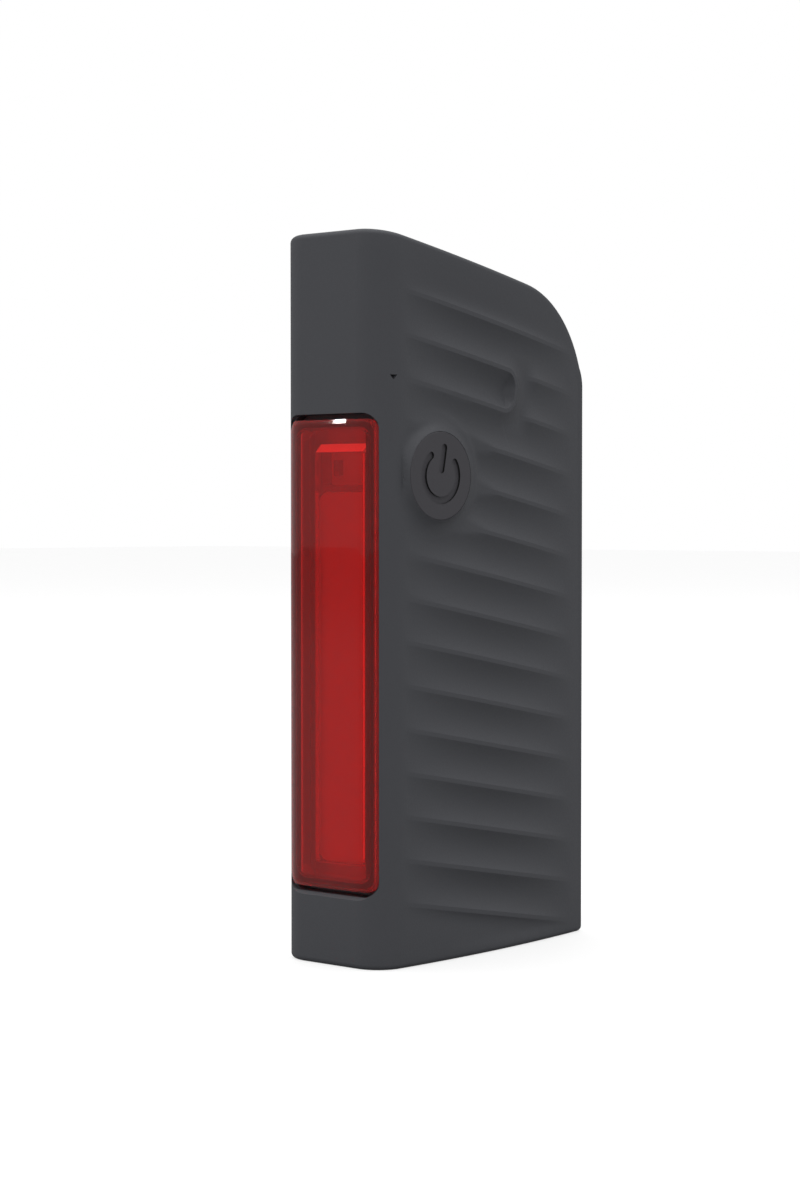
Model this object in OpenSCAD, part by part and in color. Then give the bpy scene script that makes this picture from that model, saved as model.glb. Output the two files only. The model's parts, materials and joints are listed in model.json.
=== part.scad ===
// Slim upright rear light for a bicycle, standing on its base.
// X runs across the light, Y to the rear and Z up, in millimetres, with the origin in the middle of the base.
// Depths are measured to the rear from the crown of the front face.

/* [Body] */
// Height of the front edge
body_h = 82.2; // [80:0.1:90]
// Depth from the crown of the front face to the rear face
body_d = 38.1; // [37.5:0.1:42]
// Width at mid-depth, where the sides bow out most
body_w = 17.2; // [16.8:0.1:18]
// Width across the front and rear ends, up to where their faces would meet the sides
end_w = 15; // [14.7:0.1:15.6]
// How far the front face bows out at its middle
front_crown = 0.1; // [0.05:0.05:0.2]
// Rounding of the two front corners
corner_r = 3.9; // [3.4:0.1:4.2]
// Rounding of the two rear corners
rear_corner_r = 1.2; // [0.6:0.1:1.4]
// Fall of the top and of the ribs to the rear, in degrees
slope = 10.2; // [8:0.1:12]
// Radius of the big rear top corner
rear_top_r = 15; // [12:0.5:16.5]
// Rounding of the lower rear edge
foot_r = 1.2; // [0.4:0.1:2]
// Rounding of the front face's upper and lower edges
brow_r = 0.7; // [0.3:0.1:1.2]
// Wall at the bowed sides
side_wall = 1.8; // [1.5:0.05:1.9]
// Wall at the top and the base
end_wall = 2.2; // [2:0.1:3]
// Wall behind the front face
front_wall = 3.4; // [3.2:0.1:3.6]
// Wall at the rear, where the cover's screws hold
rear_wall = 6; // [5.5:0.1:7]

/* [Ribs] */
// Ribs on each side
rib_count = 15; // [8:1:15]
// Upright distance from one rib to the next
rib_pitch = 4.87; // [4.6:0.01:4.94]
// Upright distance from the top edge to the first rib
rib_drop = 5.85; // [5:0.05:6.5]
// Width of a rib's crest
rib_w = 0.48; // [0.3:0.02:0.8]
// Depth of the channels between the ribs at mid-depth
rib_depth = 0.74; // [0.4:0.02:0.8]
// Rounding at the foot of a rib
rib_foot_r = 0.7; // [0.4:0.1:1.2]
// Channel that ends in a round-cornered pocket on the button side
pocket_channel = 1; // [1:1:2]
// Distance along the ribs at which the pocket ends
pocket_end = 24.6; // [22:0.1:26]
// Corner radius of the pocket's end
pocket_r = 1.7; // [1:0.1:2]
// How much deeper the pocket's end is than the channels
pocket_extra = 0.5; // [0.2:0.05:0.6]
// Flat gap between the pocket's end and the ribs behind it
valley_w = 1.6; // [1:0.1:3]
// Length over which those ribs rise from the channel floor
rib_rise = 2.4; // [1.5:0.1:4]
// Run of the shallow slope above the first rib and below the last one
runout_l = 3.5; // [2:0.1:4]
// Radius of the shallow bowl that clears the ribs round the button
bowl_r = 60; // [40:1:80]

/* [Vent mark] */
// Length of the small three-cornered recess behind the front corner
vent_l = 0.85; // [0.6:0.05:1.2]
// Height of the recess
vent_h = 0.6; // [0.4:0.1:1]
// Depth of the recess
vent_deep = 0.6; // [0.4:0.1:1]
// Its distance behind the front face
vent_d = 2; // [1.8:0.1:3]
// Its height above the base
vent_z = 66; // [64.5:0.5:68]

/* [Lens] */
// Height of the lens above the base
lens_z = 8.65; // [8:0.05:10]
// Height of the lens itself
lens_h = 52.5; // [50:0.1:54]
// Open gap above the lens
gap_over = 0.65; // [0.4:0.05:1]
// Open gap below the lens
gap_under = 1; // [0.6:0.05:1.4]
// Chamfer of the body's edge under the lens
sill_chamfer = 0.45; // [0.2:0.05:0.6]
// Depth of the seam between lens and body
seam_d = 1.05; // [1:0.05:1.1]
// Corner radius of the lens in front view
lens_r = 1.2; // [0.8:0.1:2]
// Thickness of the lens
lens_t = 1.2; // [1:0.05:1.4]
// Half width of the recess behind the lens
seat_half = 6; // [5.9:0.05:6.1]
// Depth of that recess
seat_d = 2.2; // [2:0.05:2.4]
// Half width of the lens's inner collar
collar_half = 5.3; // [5.2:0.05:5.4]
// Wall of the collar
collar_t = 0.6; // [0.5:0.05:0.7]
// Depth to the end of the collar
collar_d = 3; // [2.6:0.1:3.1]
// Margin from the lens's ends to the collar
collar_margin = 0.9; // [0.8:0.1:1.5]
// Corner radius of the collar and of what nests in it
collar_r = 1.4; // [1:0.1:2]

/* [Light unit] */
// Half width of the light guide's block
guide_half = 3.4; // [3.2:0.05:3.5]
// Depth of the block's front
guide_d = 2.15; // [1.9:0.05:2.3]
// Bevel on top of the block
guide_bevel = 1; // [0.6:0.1:1.1]
// Gap from the collar's ends to the block
guide_margin = 1.7; // [1:0.1:2.5]
// Half width of the guide's flange
flange_half = 5.6; // [5.5:0.05:5.7]
// Thickness of the flange
flange_t = 0.6; // [0.5:0.05:0.7]
// Half width of the diffuser panel
panel_half = 3.9; // [3.6:0.05:4]
// Thickness of the diffuser panel
panel_t = 0.8; // [0.6:0.05:0.9]
// Gap left above the diffuser, where the posts show
panel_drop = 5.4; // [5:0.1:7]
// Thickness of the reflector tray
tray_t = 1.7; // [1.6:0.05:1.9]
// Thickness of the lamp board
lamp_board_t = 0.8; // [0.6:0.1:1]
// Number of lamps
lamp_count = 6; // [3:1:7]
// Width of a lamp
lamp_w = 3; // [2:0.1:3.4]
// Height of a lamp's package
lamp_h = 2.8; // [2:0.1:3.2]
// Thickness of a lamp
lamp_t = 0.75; // [0.5:0.05:0.8]
// Radius of a lamp's window
lamp_r = 1.1; // [0.8:0.05:1.3]
// Half the distance between the two contact posts
post_half = 2.05; // [1.5:0.05:2.6]
// Width of a contact post
post_w = 0.75; // [0.5:0.05:1]
// Height of a contact post
post_h = 1.8; // [1.2:0.1:2.2]

/* [Button] */
// Radius of the button's face
button_r = 4.9; // [4.5:0.05:5]
// Depth of the button's middle behind the front face
button_d = 8.9; // [8.8:0.1:10]
// Height of the button's middle above the base
button_z = 54.9; // [53:0.1:57]
// Height of the mound's rim above the bowed side
mound_h = 0.75; // [0.6:0.05:1]
// Width of the mound's level rim
mound_rim = 0.3; // [0.2:0.05:0.5]
// Run of the mound's hollow slope
mound_run = 1.9; // [1.4:0.1:2.2]
// Thickness of the button's face
cap_t = 1; // [0.8:0.05:1.1]
// Width of the ledge that keeps the button in
ledge_w = 0.6; // [0.5:0.05:0.7]
// Thickness of the button's flange
button_flange_t = 0.5; // [0.4:0.05:0.6]
// Travel of the button
button_travel = 0.5; // [0.3:0.05:0.5]
// Thickness of the retainer ring
retainer_t = 0.5; // [0.4:0.05:0.6]
// Length of the retainer's sleeve
sleeve_l = 0.85; // [0.7:0.05:0.9]
// Wall of the sleeve
sleeve_t = 0.7; // [0.5:0.05:0.8]
// Radius of the button's stem
stem_r = 1.5; // [1.2:0.1:1.7]
// Radius of the seal ring's cross-section
seal_r = 0.4; // [0.3:0.05:0.45]

/* [Switch] */
// Height of the switch case
switch_t = 1.2; // [1.1:0.05:1.3]
// Length of the switch case along the light's depth
switch_l = 3; // [2.8:0.1:3.2]
// Height of the switch case along the light's height
switch_h = 4; // [3:0.1:4.6]
// Radius of the plunger
plunger_r = 0.95; // [0.6:0.05:1.1]
// How far the plunger stands out of its case
plunger_out = 0.7; // [0.6:0.05:0.75]
// How far the plunger reaches into its case
plunger_in = 0.5; // [0.4:0.05:0.55]

/* [Boards and battery] */
// Thickness of the main board
board_t = 1; // [0.8:0.1:1]
// Depth of the main board's front edge
board_d = 7.5; // [7.45:0.05:7.6]
// Room between the main board and the rear wall
board_room = 2.4; // [1.6:0.1:4]
// Height of the main board's lower edge above the base
board_z = 2.6; // [2.4:0.1:3.2]
// Height of the main board itself
board_h = 65; // [60:0.5:67]
// Thickness of the inner frame's upright wall
frame_t = 0.8; // [0.6:0.05:0.85]
// Half width of the inner frame
frame_half = 4.25; // [4:0.05:4.3]
// Thickness of the shelves above and below the battery
shelf_t = 1.2; // [1:0.1:1.6]
// Height of the lower shelf's top above the base
shelf_z = 11.9; // [11.5:0.1:13]
// Height of the battery
battery_h = 42; // [38:0.5:42.5]
// Length of the battery along the light's depth
battery_l = 20.5; // [18:0.5:21]
// Thickness of the battery
battery_t = 5.8; // [5:0.1:5.9]
// Rounding of the battery's long edges
battery_r = 1.2; // [0.8:0.1:2]
// Thickness of the foam pad beside the battery
pad_t = 0.5; // [0.4:0.05:0.6]
// Radius of a board screw's thread
board_screw_r = 0.8; // [0.7:0.05:0.9]
// Length of a board screw's thread
board_screw_l = 3.6; // [3:0.1:4]
// Radius of a board screw's head
board_head_r = 1.4; // [1.2:0.05:1.6]
// Height of a board screw's head
board_head_t = 0.8; // [0.6:0.1:1]
// Width of the bosses that take the board screws
boss_w = 3.8; // [3.4:0.1:4.2]
// Gap from the switch and the charging socket to the bosses behind them
boss_gap = 0.7; // [0.4:0.1:1.2]
// Radius of a battery lead
lead_r = 0.45; // [0.35:0.05:0.5]
// Distance between the two battery leads
lead_pitch = 2; // [1.6:0.1:2.4]
// Distance from the battery's front to the first lead
lead_inset = 14; // [11:0.5:15]
// Length of the leads above the upper shelf
lead_free = 1.5; // [1:0.1:2.5]
// Height of the battery's plug
plug_up = 4; // [3:0.1:5]
// Rim of the battery's plug round its leads
plug_rim = 0.5; // [0.4:0.1:1]
// Thickness of the ribbon between the two boards
ribbon_t = 0.15; // [0.1:0.01:0.2]
// Width of the ribbon
ribbon_w = 5; // [3:0.1:6]
// Length of the ribbon's foot on the lamp board
ribbon_foot = 3.6; // [2:0.1:4.5]
// Height from the diffuser's top down to the ribbon
ribbon_drop = 5; // [4:0.1:8]
// Width of the control chip
chip_w = 5; // [3:0.1:6]
// Thickness of the control chip
chip_t = 0.9; // [0.6:0.1:1.2]
// Width of the coil
coil_w = 3; // [2:0.1:4]
// Thickness of the coil
coil_t = 1.3; // [0.8:0.1:1.6]

/* [Charging port] */
// Width of the charging socket
usb_w = 8.94; // [8.9:0.02:9]
// Thickness of the charging socket
usb_t = 3.26; // [3.2:0.02:3.3]
// Length of the charging socket
usb_l = 7.35; // [6.5:0.05:7.6]
// Wall of the socket's shell
usb_wall = 0.3; // [0.25:0.05:0.35]
// Width of the contact tongue
tongue_w = 6.69; // [6.5:0.05:6.8]
// Thickness of the contact tongue
tongue_t = 0.7; // [0.6:0.05:0.8]
// Length of the contact tongue
tongue_l = 4.4; // [4:0.1:4.6]
// Thickness of the tongue's root
tongue_root = 1.2; // [1:0.1:1.4]
// Half width of the flap over the port
flap_half = 3.5; // [3.2:0.05:3.6]
// Distance from the port's middle to the flap's tip
flap_tip = 6.3; // [6:0.1:7]
// Distance from the port's middle to the flap's pivot
flap_pivot = 9.2; // [8.5:0.1:9.6]
// Thickness of the flap
flap_t = 0.96; // [0.8:0.02:1]
// How far the flap lies above the ground
flap_lift = 0.24; // [0.2:0.02:0.3]
// Height of the flap's plug
plug_h = 0.85; // [0.6:0.05:0.9]
// Radius of the flap's pivot bar
pivot_r = 0.55; // [0.45:0.05:0.6]
// How far the pivot bar reaches into the body at each end
pivot_reach = 0.7; // [0.5:0.1:0.9]
// Radius of the finger notch at the flap's tip
notch_r = 2.2; // [1.5:0.1:2.4]

/* [Rear cover] */
// Half width of the rear cover
cover_half = 4.9; // [4.8:0.05:5]
// Height of the cover's lower edge above the base
cover_z = 4; // [3.5:0.1:4.5]
// Height of the cover itself
cover_h = 56.5; // [54:0.1:57]
// Thickness of the cover
cover_t = 2; // [1.8:0.1:2.2]
// Corner radius of the cover
cover_r = 2; // [1:0.1:2.5]
// Thickness of the cover's gasket
gasket_t = 0.4; // [0.3:0.05:0.6]
// Width of the gasket
gasket_w = 0.6; // [0.5:0.05:0.65]
// Height from the cover's ends to its screws
screw_inset = 3.1; // [3:0.1:3.4]
// Half the distance between the two screws of a pair
screw_half = 2.5; // [2.2:0.1:2.6]
// Radius of a cover screw's thread
screw_r = 0.7; // [0.6:0.05:0.75]
// Length of a cover screw's thread
screw_l = 3.8; // [3.4:0.1:4]
// Radius of a screw's head
screw_head_r = 1.35; // [1.2:0.05:1.4]
// Height of a screw's head
screw_head_t = 0.8; // [0.6:0.1:1]
// Outer radius of a threaded insert
insert_r = 1.3; // [1.2:0.05:1.35]
// Length of a threaded insert
insert_l = 3; // [2.6:0.1:3.2]
// Half width of the rail socket
socket_half = 3.3; // [3.1:0.05:3.35]
// Half width of the socket's neck
neck_half = 2.3; // [2.15:0.05:2.5]
// Thickness of the lips beside the neck
lip_t = 1.5; // [1.2:0.1:1.6]
// Depth of the socket behind the lips
socket_deep = 2.8; // [2.6:0.1:3]
// Wall of the box behind the socket
socket_wall = 0.8; // [0.7:0.05:0.85]
// Height of the socket's lower end above the base
socket_z = 14; // [13:0.5:15]
// Height of the open window where the rail enters
window_h = 12; // [10:0.5:14]
// Length of the neck above the window
neck_l = 19; // [15:0.5:21]

/* [Fits] */
// Gap round the button's face and flange
button_gap = 0.08; // [0.05:0.01:0.1]
// Gap round pieces that are pressed or set in place
set_gap = 0.05; // [0.03:0.01:0.08]
// Gap round pieces that drop in freely
free_gap = 0.1; // [0.08:0.01:0.15]
// Gap round the flap and its plug
flap_gap = 0.2; // [0.15:0.01:0.22]

/* [Hidden] */

$fn = 64;
bow_fn = 720;
arc_steps = 6;
long_arc_steps = 20;
over = 1;
sliver = 0.01;

body_grey = "#434448";
lens_red = "#c81e1e";
rubber_black = "#2b2b2d";
board_green = "#1f5c3a";
steel = "#b4b6b8";
brass = "#b8923f";
white_plastic = "#e8e6e0";
clear_plastic = "#d9dfe2";

// Bowed sides and front
bulge = (body_w - end_w) / 2;
side_r = (pow(body_d / 2, 2) + pow(bulge, 2)) / (2 * bulge);
front_r = (pow(end_w / 2, 2) + pow(front_crown, 2)) / (2 * front_crown);
side_lean = asin(body_d / 2 / side_r);
front_lean = asin(end_w / 2 / front_r);
function deep(d) = d - body_d / 2;
function side_x(d) = sqrt(pow(side_r, 2) - pow(d - body_d / 2, 2)) - side_r + body_w / 2;
corner_way = 135 + (front_lean - side_lean) / 2;
corner_mid = [end_w / 2, front_crown] + corner_r / sin(45 + (front_lean + side_lean) / 2) *
    [cos(corner_way), sin(corner_way)];
function corner_x(d) = corner_mid[0] + sqrt(pow(corner_r, 2) - pow(corner_mid[1] - d, 2));

// Ribs, laid out square to their slope
rib_step = rib_pitch * cos(slope);
channel_x = body_w / 2 - rib_depth;
channel_l = body_d / cos(slope) + body_h * sin(slope) + over;

// Levels of the lens and of the pieces behind it
lens_top = lens_z + lens_h;
lens_half = corner_x(seam_d);
mouth_z = [lens_z - gap_under, lens_top + gap_over];
collar_z = [lens_z + collar_margin, lens_top - collar_margin];
guide_z = [collar_z[0] + guide_margin, collar_z[1] - guide_margin];
flange_d = front_wall + set_gap;
flange_z = [collar_z[0] - collar_t / 2, collar_z[1] + collar_t / 2];
tray_half = flange_half - collar_t;
panel_d = flange_d + flange_t + set_gap;
panel_z = [guide_z[0], guide_z[1] - panel_drop];
tray_end = panel_d + tray_t;
lamp_board_end = tray_end + lamp_board_t;
lamp_step = (panel_z[1] - panel_z[0]) / lamp_count;
frame_end = lamp_board_end + frame_t;
posts_z = [panel_z[1] + (panel_drop - post_h) / 2, panel_z[1] + (panel_drop + post_h) / 2];

// Button, square to the bowed side where it sits
button_tilt = asin((body_d / 2 - button_d) / side_r);
button_x = side_x(button_d);
hole_r = button_r + button_gap;
button_flange_r = button_r + ledge_w;
bay_r = button_flange_r + button_gap;
cap_under = mound_h - cap_t;
flange_under = cap_under - button_flange_t;
retainer_top = flange_under - button_travel - free_gap;
retainer_under = retainer_top - retainer_t;
sleeve_end = retainer_under - sleeve_l;
sleeve_bore = stem_r + 2 * seal_r + set_gap;
seal_z = retainer_under + seal_r - set_gap;
bowl_x = channel_x - set_gap;
mound_foot = bowl_x - button_x - set_gap;
mound_r = hole_r + mound_rim + mound_run;
mound_angle = 90 - 2 * atan((mound_h - mound_foot) / mound_run);
mound_fillet = mound_run / cos(mound_angle);

// Main board, whose face carries the charging socket on the middle plane
board_x = [usb_t / 2, usb_t / 2 + board_t];
board_y = [deep(board_d), deep(body_d - rear_wall - board_room)];
switch_top = board_x[1] + switch_t;
plunger_tip = switch_top + plunger_out;
stem_end = (plunger_tip + free_gap - button_x) / cos(button_tilt);
switch_y = deep(button_d) + (button_x - plunger_tip) * tan(button_tilt);

// Battery between the shelves of the inner frame
battery_x = [board_x[0] - set_gap - pad_t - battery_t, board_x[0] - set_gap - pad_t];
battery_y = [deep(frame_end) + free_gap, deep(frame_end) + free_gap + battery_l];
battery_z = [shelf_z + set_gap, shelf_z + set_gap + battery_h];
upper_shelf = [battery_z[1] + set_gap, battery_z[1] + set_gap + shelf_t];
lower_shelf = [shelf_z - shelf_t, shelf_z];
boss_l = board_screw_l + 2 * free_gap;
upper_boss = [switch_y + switch_l / 2 + boss_gap + boss_w / 2, upper_shelf[1] + boss_w / 2];
lower_boss = [usb_w / 2 + boss_gap + boss_w / 2, lower_shelf[0] - boss_w / 2];
shelf_y = [deep(frame_end), max(battery_y[1], lower_boss[0] + boss_w / 2)];
lead_y = battery_y[0] + lead_inset;
lead_x = (battery_x[0] + battery_x[1]) / 2 + battery_t / 4;
plug_z = [upper_shelf[1] + lead_free, upper_shelf[1] + lead_free + plug_up];
ribbon_z = [panel_z[1] - ribbon_drop - ribbon_w, panel_z[1] - ribbon_drop];

// Charging port in the middle of the base
usb_z = [end_wall + set_gap, end_wall + set_gap + usb_l];
flap_top = flap_lift + flap_t;
pivot_z = flap_lift + flap_t / 2;
pivot_bore = pivot_r + set_gap;
bay_half = flap_half + flap_gap;
bay_top = flap_top + free_gap;
bay_y = [-flap_tip - flap_gap, flap_pivot + flap_t / 2 + flap_gap];
plug_half = [usb_t / 2, usb_w / 2];
slot_half = [plug_half[0] + flap_gap, plug_half[1] + flap_gap];

// Rear cover and its rail socket
cover_top = cover_z + cover_h;
cover_d = body_d - cover_t;
rebate_d = cover_d - gasket_t;
opening_half = cover_half - gasket_w - free_gap;
opening_z = [cover_z + 2 * screw_inset, cover_top - 2 * screw_inset];
screw_z = [cover_z + screw_inset, cover_top - screw_inset];
head_seat = body_d - screw_head_t - free_gap;
socket_top = socket_z + window_h + neck_l;
socket_d = body_d - lip_t - socket_deep;
box_half = socket_half + socket_wall;

// Point lists with rounded corners: each corner is [x, y, radius, steps]
function unit(v) = v / norm(v);
function flat(p) = [p[0], p[1]];
function turn(a) = a > 180 ? a - 360 : a < -180 ? a + 360 : a;
function angle_of(v) = atan2(v[1], v[0]);
function rounded(pts) = [for (i = [0 : len(pts) - 1])
    each corner(pts[(i + len(pts) - 1) % len(pts)], pts[i], pts[(i + 1) % len(pts)])];
function corner(a, p, b) = p[2] == undef || p[2] == 0 ? [flat(p)] :
    let (u = unit(flat(a) - flat(p)), v = unit(flat(b) - flat(p)), half = acos(u * v) / 2,
        c = flat(p) + unit(u + v) * p[2] / sin(half), first = angle_of(u * p[2] / tan(half) + flat(p) - c),
        sweep = turn(angle_of(v * p[2] / tan(half) + flat(p) - c) - first),
        steps = p[3] == undef ? arc_steps : p[3])
    [for (k = [0 : steps]) c + p[2] * [cos(first + sweep * k / steps), sin(first + sweep * k / steps)]];
function oblong(half_x, z, r) = rounded([[-half_x, z[0], r], [half_x, z[0], r], [half_x, z[1], r],
    [-half_x, z[1], r]]);
function top_z(d) = body_h - d * tan(slope);

// Box between two limits on each axis
module block(x, y, z) {
    translate([x[0], y[0], z[0]])
        cube([x[1] - x[0], y[1] - y[0], z[1] - z[0]]);
}

// Plate with an outline in front view, from one depth to another
module plate(pts, d0, d1) {
    translate([0, deep(d1), 0])
        rotate([90, 0, 0])
            linear_extrude(d1 - d0)
                polygon(pts);
}

// Prism with an outline in side view, given as depth and height
module side_prism(pts, half) {
    translate([-half, deep(0), 0])
        rotate([90, 0, 90])
            linear_extrude(2 * half)
                polygon(pts);
}

// Space between the two bowed sides, set in by a wall
module bowed(inset) {
    intersection() {
        translate([body_w / 2 - side_r, 0, -over])
            cylinder(r = side_r - inset, h = body_h + 2 * over, $fn = bow_fn);
        translate([side_r - body_w / 2, 0, -over])
            cylinder(r = side_r - inset, h = body_h + 2 * over, $fn = bow_fn);
    }
}

// Upright corners, rounded between the tangents of the faces that meet there
module corner_prism() {
    front = [0, deep(front_crown) - end_w / 2 * tan(front_lean)];
    waist = end_w / 2 + body_d / 2 * tan(side_lean);
    right = [[end_w / 2, deep(front_crown), corner_r, long_arc_steps / 2], [waist, 0],
        [end_w / 2, deep(body_d), rear_corner_r]];
    left = [for (i = [2 : -1 : 0]) [-right[i][0], right[i][1], right[i][2], right[i][3]]];
    translate([0, 0, -over])
        linear_extrude(body_h + 2 * over)
            polygon(rounded(concat([front], right, left)));
}

// Whole outer form, without ribs or openings
module body_form() {
    profile = rounded([[0, 0, brow_r], [0, top_z(0), brow_r],
        [body_d, top_z(body_d), rear_top_r, long_arc_steps], [body_d, 0, foot_r]]);
    intersection() {
        bowed(0);
        translate([0, deep(front_r), -over])
            cylinder(r = front_r, h = body_h + 2 * over, $fn = bow_fn);
        corner_prism();
        side_prism(profile, body_w);
    }
}

// Room inside the walls
module cavity() {
    fall = end_wall / cos(slope);
    rear = body_d - rear_wall;
    profile = rounded([[front_wall, end_wall], [front_wall, top_z(front_wall) - fall],
        [rear, top_z(rear) - fall, rear_top_r - rear_wall, long_arc_steps / 2], [rear, end_wall]]);
    intersection() {
        bowed(side_wall);
        side_prism(profile, body_w);
    }
}

// Frame that lies along the ribs, with the first rib's upper edge at its zero
module along_ribs() {
    translate([0, deep(0), body_h - rib_drop])
        rotate([-slope, 0, 0])
            children();
}

// Cutter between rib k and the next, over a stretch along the rib
module channel(k, from, to) {
    upper = -k * rib_step - rib_w;
    lower = -(k + 1) * rib_step;
    outer = body_w / 2 + over;
    along_ribs()
        translate([0, to, 0])
            rotate([90, 0, 0])
                linear_extrude(to - from)
                    polygon(rounded([[outer, upper], [channel_x, upper, rib_foot_r],
                        [channel_x, lower, rib_foot_r], [outer, lower]]));
}

// Shallow slope beside the first or last rib, from its edge up or down to the plain side
module runout(edge, way) {
    outer = body_w / 2 + over;
    foot = channel_x + rib_depth / 2;
    rise = runout_l * (outer - foot) / (body_w / 2 - foot);
    along_ribs()
        translate([0, channel_l, 0])
            rotate([90, 0, 0])
                linear_extrude(channel_l + over)
                    polygon([[outer, edge], [foot, edge], [outer, edge + way * rise]]);
}

// Prism square to the ribs: an outline along and across them, from an X outwards
module rib_prism(x, pts) {
    along_ribs()
        translate([x, 0, 0])
            rotate([90, 0, 90])
                linear_extrude(body_w / 2 + over - x)
                    polygon(pts);
}

// Wedge that a floor sloping along the ribs leaves open, between two heights across them
module rib_wedge(pts, lower, upper) {
    along_ribs()
        translate([0, 0, lower])
            linear_extrude(upper - lower)
                polygon(pts);
}

// Outline between two edges across the ribs, which ends in rounded corners
function bay_outline(end, lower, upper, r) = rounded([[-over, upper], [end, upper, r], [end, lower, r],
    [-over, lower]]);

// Pocket between two ribs, whose floor sinks to its round-cornered end
module pocket() {
    upper = -pocket_channel * rib_step - rib_w;
    lower = -(pocket_channel + 1) * rib_step;
    outer = body_w / 2 + over;
    intersection() {
        rib_prism(channel_x - 2 * pocket_extra, bay_outline(pocket_end, lower, upper, pocket_r));
        rib_wedge([[channel_x, -over], [channel_x - pocket_extra, pocket_end + over],
            [outer, pocket_end + over], [outer, -over]], lower - over, upper + over);
    }
}

// Gap in the ribs behind the pocket, rounded with its rim, with a ramp where they start again
module valley() {
    start = pocket_end + rib_w;
    upper = -pocket_channel * rib_step;
    lower = -(pocket_channel + 1) * rib_step - rib_w;
    outer = body_w / 2 + over;
    ramp = [start + valley_w, start + valley_w + rib_rise];
    difference() {
        rib_wedge([[channel_x, pocket_end - pocket_r], [channel_x, ramp[0]], [channel_x + rib_depth, ramp[1]],
            [outer, ramp[1]], [outer, pocket_end - pocket_r]], lower - rib_foot_r, upper + rib_foot_r);
        rib_prism(channel_x - over, bay_outline(start, lower, upper, pocket_r + rib_w));
    }
}

// Channels of the plain side
module plain_side_cut() {
    for (k = [0 : rib_count - 2])
        channel(k, -over, channel_l);
    end_slopes();
}

// Slopes above the first rib and below the last one
module end_slopes() {
    runout(0, 1);
    runout(-(rib_count - 1) * rib_step - rib_w, -1);
}

// Channels of the button side, with the pocket and the bowl round the button
module button_side_cut() {
    for (k = [0 : rib_count - 2])
        if (k != pocket_channel)
            channel(k, -over, channel_l);
    pocket();
    valley();
    channel(pocket_channel, pocket_end + rib_w + valley_w, channel_l);
    end_slopes();
    translate([bowl_x + bowl_r, deep(button_d), button_z])
        sphere(r = bowl_r, $fn = bow_fn / 4);
}

// Mark behind the front corner
module vent_mark() {
    x = corner_x(vent_d) - vent_deep;
    translate([x, deep(vent_d), vent_z])
        rotate([90, 0, 90])
            linear_extrude(body_w / 2 - x)
                polygon([[0, 0], [vent_l, 0], [vent_l / 2, -vent_h]]);
}

// Frame at the button: its Z points out of the side
module at_button() {
    translate([button_x, deep(button_d), button_z])
        rotate([0, 0, -button_tilt])
            rotate([0, 90, 0])
                children();
}

// Mound round the button, with a hollow slope
module mound() {
    slope_points = [for (k = [0 : arc_steps]) let (a = 180 + mound_angle + (90 - mound_angle) * k / arc_steps)
        [mound_r + mound_fillet * cos(a), mound_foot + mound_fillet * (1 + sin(a))]];
    rotate_extrude($fn = 96)
        polygon(concat([[hole_r, -side_wall / 2], [hole_r, mound_h]], slope_points,
            [[mound_r, -side_wall / 2]]));
}

// Opening for the lens, with the recess for its gasket and the sill under it
module lens_opening() {
    plate(oblong(lens_half + free_gap, mouth_z, lens_r + gap_over), -over, seam_d);
    plate(oblong(seat_half, mouth_z, lens_r), -over, seat_d);
    plate(oblong(collar_half + free_gap, [collar_z[0] - free_gap, collar_z[1] + free_gap], collar_r), 0,
        front_wall + over);
    side_prism([[-over, mouth_z[0] + over], [-over, mouth_z[0] - sill_chamfer - over],
        [front_crown + sill_chamfer + over, mouth_z[0] + over]], lens_half);
}

// Opening for the rear cover, with holes for the screw inserts
module rear_opening() {
    plate(oblong(cover_half + free_gap, [cover_z - free_gap, cover_top + free_gap], cover_r), rebate_d,
        body_d + over);
    plate(oblong(opening_half, opening_z, cover_r), body_d - rear_wall - over, rebate_d + over);
    at_screws(rebate_d - insert_l - free_gap)
        cylinder(r = insert_r + set_gap, h = insert_l + free_gap + over);
}

// The four places of the cover's screws, with Z to the rear from a depth
module at_screws(d) {
    for (x = [-screw_half, screw_half], z = screw_z)
        translate([x, deep(d), z])
            rotate([-90, 0, 0])
                children();
}

// Opening for the charging port, the flap's bay, its pivot and the finger notch
module port_opening() {
    block([-bay_half, bay_half], bay_y, [-over, bay_top]);
    translate([0, 0, bay_top - over])
        linear_extrude(end_wall + over)
            polygon(oblong(slot_half[0], [-slot_half[1], slot_half[1]], usb_t / 3));
    translate([-bay_half - pivot_reach - free_gap, flap_pivot, pivot_z])
        rotate([0, 90, 0])
            cylinder(r = pivot_bore, h = 2 * (bay_half + pivot_reach + free_gap));
    translate([0, bay_y[0], -over])
        cylinder(r = notch_r, h = over + flap_top);
}

module housing() {
    color(body_grey)
        difference() {
            union() {
                difference() {
                    body_form();
                    button_side_cut();
                    mirror([1, 0, 0])
                        plain_side_cut();
                    cavity();
                    vent_mark();
                    lens_opening();
                    rear_opening();
                    port_opening();
                }
                at_button()
                    mound();
            }
            at_button() {
                translate([0, 0, cap_under])
                    cylinder(r = hole_r, h = cap_t + over);
                translate([0, 0, cap_under + set_gap - side_wall - mound_h])
                    cylinder(r = bay_r, h = side_wall + mound_h);
            }
        }
}

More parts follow.
